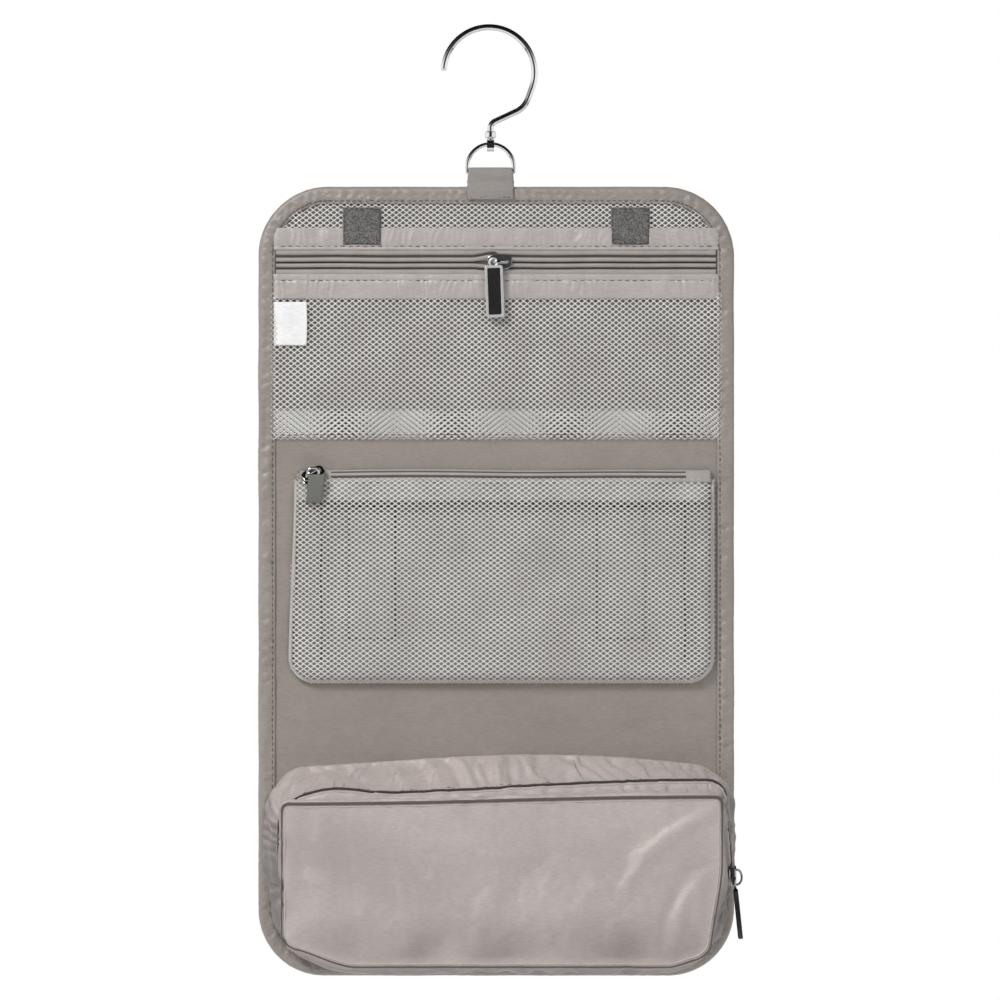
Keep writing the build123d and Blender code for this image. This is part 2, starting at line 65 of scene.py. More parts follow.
# ---- Places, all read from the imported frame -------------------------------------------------
JOINTS = {joint["name"]: joint for joint in frame["joints"]}
FOLD_NAMES = ("upper_fold_high", "upper_fold_low", "lower_fold_high", "lower_fold_low")
FOLDS = [JOINTS[name]["pos_m"][2] for name in FOLD_NAMES]
CUTS = [(FOLDS[k] + FOLDS[k + 1]) / 2 for k in range(3)]

TOP_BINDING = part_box("top_binding")
BOTTOM_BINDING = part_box("bottom_binding")
BAG_X = (TOP_BINDING[0].x + TOP_BINDING[1].x) / 2
HALF_WIDTH = (TOP_BINDING[1].x - TOP_BINDING[0].x) / 2
PANEL_TOP = TOP_BINDING[1].z
PANEL_BOTTOM = BOTTOM_BINDING[0].z
TOP_RADIUS = 37 * MM
BOTTOM_RADIUS = 35 * MM
BINDING_WIDTH = 9 * MM
BINDING_FRONT = TOP_BINDING[0].y
BINDING_BACK = TOP_BINDING[1].y
SPINE_BINDING_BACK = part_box("upper_spine_binding")[1].y
LINING_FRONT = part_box("top_lining")[0].y
PAD_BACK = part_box("top_shell")[1].y
SPINE_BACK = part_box("upper_spine_shell")[1].y

INNER_LEFT = TOP_BINDING[0].x + BINDING_WIDTH
INNER_RIGHT = TOP_BINDING[1].x - BINDING_WIDTH

STITCH_PITCH = 3.2 * MM
NET_WIDE = 3.65 * MM
NET_HIGH = 2.85 * MM
TAPE_COLUMNS = 300
HOOK_METAL = ("hook", "swivel_barrel", "swivel_yoke", "d_ring")


# ---- Small numeric helpers -------------------------------------------------------------------
def smooth(low, high, value):
    """0 below low, 1 above high and an even S-curve between."""
    t = np.clip((np.asarray(value, float) - low) / (high - low), 0, 1)
    return t * t * (3 - 2 * t)


def ripple(u, v, seed, wave, lean=0.0, spread=math.pi, count=12):
    """A wandering field of about -1 to 1: seeded waves of about one length round one direction."""
    dice = np.random.default_rng(seed)
    total = np.zeros(np.broadcast(u, v).shape)
    for _ in range(count):
        angle = lean + dice.uniform(-spread, spread)
        pull = 2 * math.pi / (wave * dice.uniform(0.7, 1.5))
        phase = dice.uniform(0, 2 * math.pi)
        total = total + np.sin(pull * (u * math.cos(angle) + v * math.sin(angle)) + phase)
    return total / math.sqrt(count / 2) / 1.6


def folds(u, v, seed, wave, lean=0.0, spread=0.5):
    """Sharp-backed creases, as thin satin makes: a ripple bent so that its crests are narrow."""
    bent_u = u + 0.35 * wave * ripple(u, v, seed + 1, wave * 2.2)
    bent_v = v + 0.35 * wave * ripple(u, v, seed + 2, wave * 2.2)
    wavy = ripple(bent_u, bent_v, seed, wave, lean, spread)
    return 1 - 2 * np.sqrt(np.abs(wavy) + 0.02)


def linear(red, green, blue):
    """An sRGB colour of 0 to 255 as Blender's linear colour."""
    def one(level):
        part = level / 255
        return part / 12.92 if part <= 0.04045 else ((part + 0.055) / 1.055) ** 2.4
    return (one(red), one(green), one(blue), 1.0)


# ---- Materials -------------------------------------------------------------------------------
class Nodes:
    """Short ways to add and join nodes of one material."""

    def __init__(self, name):
        self.material = bpy.data.materials.new(name)
        self.material.use_nodes = True
        self.tree = self.material.node_tree
        self.shader = self.tree.nodes["Principled BSDF"]

    def add(self, kind, **values):
        node = self.tree.nodes.new(kind)
        for key, value in values.items():
            if hasattr(node, key):
                setattr(node, key, value)
            else:
                node.inputs[key.replace("_", " ")].default_value = value
        return node

    def join(self, out, into):
        self.tree.links.new(out, into)

    def sums(self, operation, first, second):
        node = self.add("ShaderNodeMath", operation=operation)
        for socket, value in zip(node.inputs, (first, second)):
            if isinstance(value, (int, float)):
                socket.default_value = value
            else:
                self.join(value, socket)
        return node.outputs[0]

    def place(self):
        """Where each point was at rest, so that a pattern stays with the cloth as it bends."""
        node = self.add("ShaderNodeAttribute", attribute_name="rest_place")
        return node.outputs["Vector"]

    def noise(self, size, detail=2.0, rough=0.5, stretch=(1, 1, 1)):
        """Noise whose grains are about that many metres across."""
        scaled = self.add("ShaderNodeMapping")
        scaled.inputs["Scale"].default_value = stretch
        self.join(self.place(), scaled.inputs["Vector"])
        node = self.add("ShaderNodeTexNoise", Scale=1 / size, Detail=detail, Roughness=rough)
        self.join(scaled.outputs[0], node.inputs["Vector"])
        return node.outputs["Fac"]

    def bumps(self, height, depth, before=None):
        node = self.add("ShaderNodeBump", Distance=depth, Strength=1.0)
        self.join(height, node.inputs["Height"])
        if before is not None:
            self.join(before, node.inputs["Normal"])
        return node.outputs["Normal"]

    def blend_colours(self, factor, low, high, start=0.3, end=0.7):
        ramp = self.add("ShaderNodeValToRGB")
        ramp.color_ramp.elements[0].position = start
        ramp.color_ramp.elements[1].position = end
        ramp.color_ramp.elements[0].color = low
        ramp.color_ramp.elements[1].color = high
        self.join(factor, ramp.inputs["Fac"])
        return ramp.outputs["Color"]

    def times(self, first, second):
        """Two colours multiplied."""
        node = self.add("ShaderNodeMix", data_type="RGBA", blend_type="MULTIPLY")
        node.inputs["Factor"].default_value = 1.0
        self.join(first, node.inputs[6])
        self.join(second, node.inputs[7])
        return node.outputs[2]


def shade(colour, factor):
    """A colour made darker or lighter, never over 1."""
    return tuple(min(1.0, part * factor) for part in colour[:3]) + (1.0,)


def thread_pattern(nodes, pitch):
    """A woven surface: threads over and under each other, pitch metres apart, 0 to 1."""
    parts = nodes.add("ShaderNodeSeparateXYZ")
    nodes.join(nodes.place(), parts.inputs[0])
    waves = []
    for axis in ("X", "Z"):
        turned = nodes.sums("MULTIPLY", parts.outputs[axis], 2 * math.pi / pitch)
        waves.append(nodes.sums("SINE", turned, 0.0))
    product = nodes.sums("MULTIPLY", waves[0], waves[1])
    return nodes.sums("MULTIPLY_ADD", product, 0.5)


def cloth_material(
    name, colour, rough=0.5, pitch=0.45 * MM, weave=0.03 * MM, wrinkle=0.12 * MM,
    wrinkle_size=3 * MM, patch=0.05, sheen=0.25, shine=0.5, gleam=0.0, hollow=1.0,
):
    """Woven cloth: threads, fine wrinkles, colour that varies over it, and, where hollow is under 1,
    painted shade read from the 'hollow' attribute.
    """
    nodes = Nodes(name)
    broad = nodes.noise(45 * MM, 3.0, 0.55)
    close = nodes.noise(6 * MM, 3.0, 0.6)
    weft = nodes.noise(1.2 * MM, 1.0, 0.5, (0.35, 1, 3.0))
    tint = nodes.blend_colours(broad, shade(colour, 1 - patch), shade(colour, 1 + patch))
    warm = nodes.blend_colours(close, (0.97, 0.975, 0.98, 1), (1.03, 1.02, 1.015, 1))
    grain = nodes.blend_colours(weft, (0.93, 0.93, 0.93, 1), (1.05, 1.05, 1.05, 1), 0.35, 0.65)
    tint = nodes.times(nodes.times(tint, warm), grain)
    # Painted shade: where hollow is under 1, the colour darkens towards hollow as the 'hollow'
    # attribute rises, standing in for shade on the satin.
    if hollow < 1:
        deep = nodes.add("ShaderNodeAttribute", attribute_name="hollow")
        painted_dimming = nodes.blend_colours(deep.outputs["Fac"], (1, 1, 1, 1), (hollow,) * 3 + (1,), 0, 1)
        tint = nodes.times(tint, painted_dimming)
    nodes.join(tint, nodes.shader.inputs["Base Color"])
    crinkle = nodes.noise(wrinkle_size, 2.5, 0.55)
    normal = nodes.bumps(crinkle, wrinkle)
    normal = nodes.bumps(thread_pattern(nodes, pitch), weave, normal)
    nodes.join(normal, nodes.shader.inputs["Normal"])
    glint = nodes.sums("MULTIPLY_ADD", close, 0.16)
    glint.node.inputs[2].default_value = rough - 0.08
    nodes.join(glint, nodes.shader.inputs["Roughness"])
    nodes.shader.inputs["Sheen Weight"].default_value = sheen
    nodes.shader.inputs["Sheen Roughness"].default_value = 0.4
    nodes.shader.inputs["Specular IOR Level"].default_value = shine
    nodes.shader.inputs["Metallic"].default_value = gleam
    return nodes.material


def net_material():
    """Knitted polyester net: pale, slightly glossy threads with a twist along them."""
    nodes = Nodes("white_mesh")
    tone = nodes.noise(20 * MM, 2.0)
    twist = nodes.noise(0.5 * MM, 2.0, 0.6, (1, 1, 2.5))
    pale = nodes.blend_colours(tone, linear(232, 230, 226), linear(248, 247, 244))
    yarn = nodes.blend_colours(twist, (0.82, 0.82, 0.82, 1), (1.06, 1.06, 1.06, 1), 0.3, 0.7)
    nodes.join(nodes.times(pale, yarn), nodes.shader.inputs["Base Color"])
    nodes.join(nodes.bumps(twist, 0.08 * MM), nodes.shader.inputs["Normal"])
    nodes.shader.inputs["Roughness"].default_value = 0.55
    nodes.shader.inputs["Sheen Weight"].default_value = 0.2
    return nodes.material


def felt_material():
    """Hook-and-loop: a dark, matt pile of small loops."""
    nodes = Nodes("hook_and_loop")
    loops = nodes.noise(0.9 * MM, 3.0, 0.7)
    clumps = nodes.noise(4 * MM, 2.0, 0.5)
    dark = nodes.blend_colours(loops, linear(58, 56, 55), linear(138, 136, 133), 0.35, 0.68)
    worn = nodes.blend_colours(clumps, (0.86, 0.86, 0.87, 1), (1.1, 1.1, 1.09, 1))
    nodes.join(nodes.times(dark, worn), nodes.shader.inputs["Base Color"])
    nodes.join(nodes.bumps(loops, 0.7 * MM), nodes.shader.inputs["Normal"])
    nodes.shader.inputs["Roughness"].default_value = 0.95
    nodes.shader.inputs["Sheen Weight"].default_value = 0.6
    return nodes.material


def tape_material(name, colour, rough=0.6):
    """Zip tape: a herringbone of fine ribs across the tape."""
    nodes = Nodes(name)
    parts = nodes.add("ShaderNodeSeparateXYZ")
    nodes.join(nodes.place(), parts.inputs[0])
    across = nodes.sums("MULTIPLY", parts.outputs["X"], 2 * math.pi / (1.1 * MM))
    along = nodes.sums("MULTIPLY", parts.outputs["Z"], 2 * math.pi / (1.5 * MM))
    lean = nodes.sums("SINE", nodes.sums("ADD", across, along), 0.0)
    soft = nodes.noise(9 * MM, 3.0)
    tint = nodes.blend_colours(soft, shade(colour, 0.93), shade(colour, 1.06))
    ribs = nodes.sums("MULTIPLY_ADD", lean, 0.5)
    ribs.node.inputs[2].default_value = 0.5
    stripes = nodes.blend_colours(ribs, (0.86, 0.86, 0.86, 1), (1.05, 1.05, 1.05, 1), 0, 1)
    nodes.join(nodes.times(tint, stripes), nodes.shader.inputs["Base Color"])
    nodes.join(nodes.bumps(ribs, 0.09 * MM), nodes.shader.inputs["Normal"])
    nodes.shader.inputs["Roughness"].default_value = rough
    nodes.shader.inputs["Sheen Weight"].default_value = 0.15
    return nodes.material


def thread_material(name, colour):
    """Sewing thread: a fine twist of two plies."""
    nodes = Nodes(name)
    twist = nodes.noise(0.35 * MM, 1.0, 0.5)
    tint = nodes.blend_colours(twist, shade(colour, 0.75), shade(colour, 1.15))
    nodes.join(tint, nodes.shader.inputs["Base Color"])
    nodes.join(nodes.bumps(twist, 0.05 * MM), nodes.shader.inputs["Normal"])
    nodes.shader.inputs["Roughness"].default_value = 0.6
    nodes.shader.inputs["Sheen Weight"].default_value = 0.2
    return nodes.material


def plated_material(name, bright, rough):
    """Nickel plating with faint handling marks."""
    nodes = Nodes(name)
    marks = nodes.noise(2.5 * MM, 4.0, 0.7)
    smear = nodes.noise(14 * MM, 2.0, 0.5)
    metal = (bright, bright, bright, 1)
    plating = nodes.blend_colours(smear, shade(metal, 0.9), shade(metal, 1.08))
    nodes.join(plating, nodes.shader.inputs["Base Color"])
    uneven = nodes.sums("MULTIPLY_ADD", marks, 0.10)
    uneven.node.inputs[2].default_value = rough
    nodes.join(uneven, nodes.shader.inputs["Roughness"])
    nodes.join(nodes.bumps(marks, 0.01 * MM), nodes.shader.inputs["Normal"])
    nodes.shader.inputs["Metallic"].default_value = 1.0
    return nodes.material


def black_insert_material():
    """The pull's black filling: coarse satin-black grain with worn high spots."""
    nodes = Nodes("pull_insert_black")
    grain = nodes.noise(0.7 * MM, 3.0, 0.6)
    smear = nodes.noise(5 * MM, 2.0, 0.5)
    tint = nodes.blend_colours(smear, linear(10, 10, 11), linear(22, 22, 24))
    worn = nodes.blend_colours(grain, (0.75, 0.75, 0.75, 1), (1.25, 1.25, 1.25, 1))
    nodes.join(nodes.times(tint, worn), nodes.shader.inputs["Base Color"])
    nodes.join(nodes.bumps(grain, 0.12 * MM), nodes.shader.inputs["Normal"])
    nodes.shader.inputs["Roughness"].default_value = 0.5
    nodes.shader.inputs["Specular IOR Level"].default_value = 0.35
    return nodes.material


def floor_material():
    """A pale, matt floor far below the bag."""
    nodes = Nodes("studio_floor")
    soft = nodes.add("ShaderNodeTexNoise", Scale=3.0)
    pale = nodes.blend_colours(soft.outputs["Fac"], (0.86, 0.86, 0.86, 1), (0.89, 0.89, 0.89, 1))
    nodes.join(pale, nodes.shader.inputs["Base Color"])
    nodes.shader.inputs["Roughness"].default_value = 0.9
    return nodes.material


LINING = cloth_material(
    "lining_satin", linear(154, 145, 138), rough=0.45, wrinkle=0.12 * MM, wrinkle_size=6 * MM,
    gleam=0.1, patch=0.04,
)
# Painted shade: a darker copy of the lining satin for where the net pocket shades the lining.
PAINTED_SHADE_BEHIND_NET = cloth_material(
    "lining_shaded", linear(128, 122, 118), rough=0.62, wrinkle=0.08 * MM, shine=0.3,
)
POUCH_BACKING = cloth_material(
    "pouch_backing", linear(150, 145, 141), rough=0.6, wrinkle=0.08 * MM, shine=0.3,
)
OUTER = cloth_material(
    "outer_cloth", linear(163, 155, 149), rough=0.5, pitch=0.6 * MM, weave=0.05 * MM,
    wrinkle=0.14 * MM, wrinkle_size=7 * MM,
)
# Painted shade: hollow=0.42 is the satin's colour factor where its painted shade is full.
SATIN = cloth_material(
    "pocket_satin", linear(192, 182, 178), rough=0.52, weave=0.012 * MM, wrinkle=0.15 * MM,
    wrinkle_size=9 * MM, shine=0.5, patch=0.04, gleam=0.2, hollow=0.42,
)
FACING = cloth_material(
    "facing_satin", linear(187, 179, 176), rough=0.40, wrinkle=0.26 * MM, wrinkle_size=3.4 * MM,
    gleam=0.15,
)
BINDING = cloth_material(
    "binding_tape", linear(157, 149, 143), rough=0.42, wrinkle=0.30 * MM, wrinkle_size=3.0 * MM,
    patch=0.07, gleam=0.15,
)
TAB_CLOTH = cloth_material(
    "tab_webbing", linear(148, 142, 138), rough=0.6, pitch=0.9 * MM, weave=0.12 * MM,
    wrinkle=0.05 * MM,
)
TAG_CLOTH = cloth_material(
    "pull_tag_cloth", linear(108, 109, 103), rough=0.55, pitch=0.7 * MM, weave=0.08 * MM,
    wrinkle=0.05 * MM,
)
LABEL = cloth_material(
    "label_white", linear(243, 243, 243), rough=0.5, pitch=0.35 * MM, weave=0.02 * MM,
    wrinkle=0.06 * MM, wrinkle_size=4 * MM, patch=0.015, sheen=0.1,
)
NET = net_material()
FELT = felt_material()
ZIP_TAPE = tape_material("zip_tape", linear(170, 163, 158))
# Painted shade: a dark copy of the zip tape for the zips' grooves and gutters.
ZIP_GROOVE_SHADE = tape_material("zip_groove", linear(86, 80, 77), 0.8)
LIGHT_TAPE = tape_material("light_tape", linear(190, 187, 183))
BAND_TAPE = tape_material("band_tape", linear(156, 152, 148))
THREAD = thread_material("sewing_thread", linear(104, 97, 92))
# Real dark thread for stitches, tacks and seams, and also the colour of the tube of painted shade in
# the pocket zip's slit.
DARK_THREAD_AND_SHADE = thread_material("seam_thread", linear(64, 60, 57))
# Painted shadow: the dark colour of the tube that stands in for the shadow along the pocket's front
# seam.
SEAM_SHADE = thread_material("seam_shade", linear(92, 83, 79))
CHROME = plated_material("chrome_metal", 0.85, 0.03)
BRUSHED = plated_material("brushed_metal", 0.88, 0.38)
SMOKED = plated_material("smoked_metal", 0.42, 0.08)
DARK_METAL = plated_material("dark_metal", 0.07, 0.2)
INSERT = black_insert_material()


# ---- Making meshes ---------------------------------------------------------------------------
def keep_rest_place(mesh):
    """Stores where every point is at rest, for the materials."""
    places = np.zeros(len(mesh.vertices) * 3, np.float32)
    mesh.vertices.foreach_get("co", places)
    stored = mesh.attributes.new("rest_place", "FLOAT_VECTOR", "POINT")
    stored.data.foreach_set("vector", places)


def keep_painted_shade(piece, values):
    """Stores how much painted shade darkens the satin at each point."""
    stored = piece.data.attributes.new("hollow", "FLOAT", "POINT")
    stored.data.foreach_set("value", np.asarray(values, np.float32))


def mesh_piece(name, points, faces, material, round_shading=True):
    """A new object from points in metres and faces of their numbers."""
    mesh = bpy.data.meshes.new(name)
    mesh.from_pydata([tuple(p) for p in points], [], [tuple(int(i) for i in f) for f in faces])
    mesh.materials.append(material)
    if round_shading:
        mesh.shade_smooth()
    keep_rest_place(mesh)
    piece = bpy.data.objects.new(name, mesh)
    bpy.context.scene.collection.objects.link(piece)
    return piece


def grid_faces(rows, columns, round_columns=False, first=0):
    """The faces of a grid of points that is kept row by row."""
    faces = []
    last = columns if round_columns else columns - 1
    for i in range(rows - 1):
        for j in range(last):
            k = (j + 1) % columns
            a, b = first + i * columns + j, first + i * columns + k
            faces.append((a, b, b + columns, a + columns))
    return faces


def thicken(piece, thickness, offset=-1.0):
    """Gives a single layer its cloth's thickness."""
    layer = piece.modifiers.new("thickness", "SOLIDIFY")
    layer.thickness = thickness
    layer.offset = offset
    layer.use_even_offset = False
    return piece


def sheet_piece(name, x, y, z, material, thickness, offset=-1.0):
    """One sheet of cloth from grids of its coordinates."""
    points = np.stack([x, y, z], axis=-1).reshape(-1, 3)
    sheet = mesh_piece(name, points, grid_faces(*x.shape), material)
    return thicken(sheet, thickness, offset)


def round_bar(centre, along, length, radius, sides=6):
    """Points and faces of one stitch: a small round-ended bar lying along a direction."""
    along = Vector(along).normalized()
    side = along.orthogonal().normalized()
    up = along.cross(side)
    points, faces = [], []
    for share, size in ((-0.5, 0.25), (-0.32, 0.85), (0.0, 1.0), (0.32, 0.85), (0.5, 0.25)):
        for turn in range(sides):
            angle = 2 * math.pi * turn / sides
            out = side * math.cos(angle) + up * math.sin(angle)
            points.append(Vector(centre) + along * share * length + out * radius * size)
    faces = grid_faces(5, sides, True)
    faces.append(tuple(reversed(range(sides))))
    faces.append(tuple(range(4 * sides, 5 * sides)))
    return points, faces


def stitches(name, spots, material=None, length=2.2 * MM, radius=0.26 * MM):
    """One piece of many stitches. spots are (centre, direction) pairs."""
    points, faces = [], []
    for centre, along in spots:
        more, linked = round_bar(centre, along, length, radius)
        faces += [tuple(i + len(points) for i in face) for face in linked]
        points += more
    return mesh_piece(name, points, faces, material or THREAD)


def stitch_line(start, end, pitch=STITCH_PITCH, wander=0.1 * MM, seed=1):
    """Evenly spaced stitch places on a straight line, each a little off it."""
    dice = np.random.default_rng(seed)
    dice.normal(size=2)  # passed over, which keeps every stitch in its place
    a, b = Vector(start), Vector(end)
    count = max(1, int((b - a).length / pitch))
    spots = []
    for k in range(count):
        drift = Vector((dice.normal(0, wander), 0, dice.normal(0, wander)))
        spots.append((a.lerp(b, (k + 0.5) / count) + drift, b - a))
    return spots


# ---- The bag's outline -----------------------------------------------------------------------
def half_width_at(z, inset=0.0):
    """Half the bag's width at height z, its round corners included, drawn in by inset."""
    z = np.asarray(z, float)
    above = np.clip(z - (PANEL_TOP - TOP_RADIUS), 0, TOP_RADIUS - inset)
    below = np.clip((PANEL_BOTTOM + BOTTOM_RADIUS) - z, 0, BOTTOM_RADIUS - inset)
    top = (TOP_RADIUS - inset) - np.sqrt(np.maximum((TOP_RADIUS - inset) ** 2 - above ** 2, 0))
    low = (BOTTOM_RADIUS - inset) - np.sqrt(
        np.maximum((BOTTOM_RADIUS - inset) ** 2 - below ** 2, 0)
    )
    return HALF_WIDTH - inset - top - low


def back_level(z, padded, spine):
    """A back-face height that dips from the padded sections to the thin spines."""
    reach = 2.2 * MM
    level = np.full_like(np.asarray(z, float), padded)
    for high, low in ((FOLDS[0], FOLDS[1]), (FOLDS[2], FOLDS[3])):
        inside = smooth(low - reach, low + reach, z) * (1 - smooth(high - reach, high + reach, z))
        level = level + (spine - padded) * inside
    return level


def height_rows(low, high, step, inset):
    """Heights from high down to low, close together in the round corners, with every cut."""
    rows = set(np.round([high, low] + [c for c in CUTS if low < c < high], 7))
    rows |= set(np.round(np.arange(low + step, high - step / 2, step), 7))
    for centre, radius, sign in (
        (PANEL_TOP - TOP_RADIUS, TOP_RADIUS - inset, 1),
        (PANEL_BOTTOM + BOTTOM_RADIUS, BOTTOM_RADIUS - inset, -1),
    ):
        for share in np.linspace(0, 1, 15):
            z = centre + sign * radius * math.sin(share * math.pi / 2)
            if low < z < high:
                rows.add(round(z, 7))
    ordered = sorted(rows, reverse=True)
    kept = [ordered[0]]
    cuts = {round(c, 7) for c in CUTS}
    for z in ordered[1:]:
        if kept[-1] - z > 0.25 * MM or z in cuts or z == ordered[-1]:
            kept.append(z)
    return np.array(kept)


def vertex_normals(points, wrap=False):
    """Smooth normals of a grid of points, so that pieces cut from one grid shade as one."""
    down = np.gradient(points, axis=0)
    if wrap:
        padded = np.concatenate([points[:, -1:], points, points[:, :1]], axis=1)
        across = np.gradient(padded, axis=1)[:, 1:-1]
    else:
        across = np.gradient(points, axis=1)
    normal = np.cross(across, down)
    return normal / np.maximum(np.linalg.norm(normal, axis=-1, keepdims=True), 1e-12)


def section_pieces(name, points, heights, material, flip=False, wrap=False, caps=False):
    """Cuts one tall grid into four pieces, at the cuts between the bag's four folds."""
    normals = vertex_normals(points, wrap) * (-1 if flip else 1)
    edges = [0] + [int(np.argmin(np.abs(heights - c))) for c in CUTS] + [len(heights) - 1]
    pieces = []
    for k in range(4):
        rows = points[edges[k]:edges[k + 1] + 1]
        count = rows.shape[1]
        faces = grid_faces(len(rows), count, wrap)
        if caps:
            faces.append(tuple(reversed(range(count))))
            faces.append(tuple(range((len(rows) - 1) * count, len(rows) * count)))
        if flip:
            faces = [tuple(reversed(face)) for face in faces]
        piece = mesh_piece(f"{name}_{k + 1}", rows.reshape(-1, 3), faces, material)
        if not caps:
            rows_normal = normals[edges[k]:edges[k + 1] + 1].reshape(-1, 3)
            piece.data.normals_split_custom_set_from_vertices([tuple(n) for n in rows_normal])
        pieces.append(piece)
    return pieces


def bend_at_folds(pieces):
    """Bakes each of the four pieces' placement into its points."""
    for k, piece in enumerate(pieces):
        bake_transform(piece)


# ---- The padded panels -----------------------------------------------------------------------
def make_lining():
    """The satin that faces the user, tight over the foam and sewn down at the folds."""
    inset = 4 * MM
    heights = height_rows(PANEL_BOTTOM + inset, PANEL_TOP - inset, 2.4 * MM, inset)
    across, z = np.meshgrid(np.linspace(-1, 1, 121), heights)
    x = BAG_X + half_width_at(heights, inset)[:, None] * across
    dip = np.zeros_like(z)
    for fold in FOLDS:
        dip += 0.35 * MM * np.exp(-((z - fold) / (1.6 * MM)) ** 2)
    crinkle = 0.22 * MM * folds(x, z, 11, 46 * MM, math.pi / 2, 0.9)
    crinkle += 0.10 * MM * ripple(x, z, 12, 12 * MM)
    y = LINING_FRONT - 0.12 * MM + dip + crinkle
    points = np.stack([x, y, z], axis=-1)
    pieces = section_pieces("lining", points, heights, LINING)
    bend_at_folds(pieces)
    nodes = (
        ("top_lining",), ("upper_spine_lining",), ("middle_lining",),
        ("lower_spine_lining", "bottom_lining"),
    )
    net_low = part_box("top_mesh_lower")[0].z
    for k, piece in enumerate(pieces):
        if k < 2:
            shade_behind_net(piece, net_low)
        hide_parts(*nodes[k])


def shade_behind_net(piece, lowest):
    """The lining inside the net pocket takes the darker material, as painted shade from the net."""
    piece.data.materials.append(PAINTED_SHADE_BEHIND_NET)
    for face in piece.data.polygons:
        face.material_index = int(face.center.z > lowest)


def make_back_cloth():
    """The padded outer cloth: full over each foam pad and thin at the spines."""
    inset = 3 * MM
    heights = height_rows(PANEL_BOTTOM + inset, PANEL_TOP - inset, 2.6 * MM, inset)
    across, z = np.meshgrid(np.linspace(-1, 1, 91), heights)
    half = half_width_at(heights, inset)[:, None]
    x = BAG_X + half * across
    level = back_level(z, PAD_BACK, SPINE_BACK)
    from_side = half * (1 - np.abs(across))
    from_end = np.minimum(PANEL_TOP - z, z - PANEL_BOTTOM)
    edge = smooth(0, 14 * MM, np.minimum(from_side + inset, from_end))
    swell = (level - SPINE_BACK) * (1 - edge) * 0.35
    quilt = 0.20 * MM * folds(x, z, 21, 70 * MM, math.pi / 2, 1.2)
    quilt += 0.10 * MM * ripple(x, z, 22, 16 * MM)
    y_back = level - swell + quilt * edge
    fold_dent = sum(0.4 * MM * np.exp(-((z - fold) / (1.5 * MM)) ** 2) for fold in FOLDS)
    y_back = np.minimum(y_back - fold_dent, PAD_BACK + 0.3 * MM)
    y_front = np.full_like(z, LINING_FRONT + 0.55 * MM)
    back = np.stack([x, y_back, z], axis=-1)
    front = np.stack([x, y_front, z], axis=-1)[:, ::-1][:, ::6]
    points = np.concatenate([back, front], axis=1)
    pieces = section_pieces("back_cloth", points, heights, OUTER, flip=True, wrap=True, caps=True)
    nodes = (
        ("top_shell", "top_foam"), ("upper_spine_shell",),
        ("middle_shell", "middle_foam"), ("lower_spine_shell", "bottom_shell", "bottom_foam"),
    )
    bend_at_folds(pieces)
    for piece, stood_for in zip(pieces, nodes):
        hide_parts(*stood_for)


# ---- The binding -----------------------------------------------------------------------------
def outline_stations(step):
    """Points round the bag's edge from the top middle, clockwise: x, z, outward x, outward z."""
    rows = []

    def straight(x0, z0, x1, z1, out, stops=()):
        marks = sorted([0.0, 1.0] + [abs(s - z0) / abs(z1 - z0) for s in stops])
        for a, b in zip(marks, marks[1:]):
            length = math.hypot(x1 - x0, z1 - z0) * (b - a)
            count = max(1, round(length / step))
            for k in range(count):
                t = a + (b - a) * k / count
                rows.append((x0 + (x1 - x0) * t, z0 + (z1 - z0) * t, *out))

    def arc(cx, cz, radius, start):
        count = round(radius * math.pi / 2 / step)
        for k in range(count):
            angle = math.radians(start) - math.pi / 2 * k / count
            c, s = math.cos(angle), math.sin(angle)
            rows.append((cx + radius * c, cz + radius * s, c, s))

    left, right = BAG_X - HALF_WIDTH, BAG_X + HALF_WIDTH
    top_z, low_z = PANEL_TOP - TOP_RADIUS, PANEL_BOTTOM + BOTTOM_RADIUS
    straight(BAG_X, PANEL_TOP, right - TOP_RADIUS, PANEL_TOP, (0, 1))
    arc(right - TOP_RADIUS, top_z, TOP_RADIUS, 90)
    straight(right, top_z, right, low_z, (1, 0), CUTS)
    arc(right - BOTTOM_RADIUS, low_z, BOTTOM_RADIUS, 0)
    straight(right - BOTTOM_RADIUS, PANEL_BOTTOM, left + BOTTOM_RADIUS, PANEL_BOTTOM, (0, -1))
    arc(left + BOTTOM_RADIUS, low_z, BOTTOM_RADIUS, -90)
    straight(left, low_z, left, top_z, (-1, 0), CUTS)
    arc(left + TOP_RADIUS, top_z, TOP_RADIUS, 180)
    straight(left + TOP_RADIUS, PANEL_TOP, BAG_X, PANEL_TOP, (0, 1))
    return np.array(rows)


def binding_runs(stations):
    """For each of the four pieces, its runs of stations between the cuts."""
    x, z = stations[:, 0], stations[:, 1]
    count = len(stations)

    def at(cut, right):
        side = (x > BAG_X) if right else (x < BAG_X)
        gap = np.where(side & (np.abs(stations[:, 2]) > 0.99), np.abs(z - cut), 1)
        return int(np.argmin(gap))

    right = [at(c, True) for c in CUTS]
    left = [at(c, False) for c in CUTS]
    runs = [[list(range(left[0], count)) + list(range(0, right[0] + 1))]]
    for k in (0, 1):
        runs.append([list(range(right[k], right[k + 1] + 1)),
                     list(range(left[k + 1], left[k] + 1))])
    runs.append([list(range(right[2], left[2] + 1))])
    return runs


STITCH_INSET = 7.6 * MM


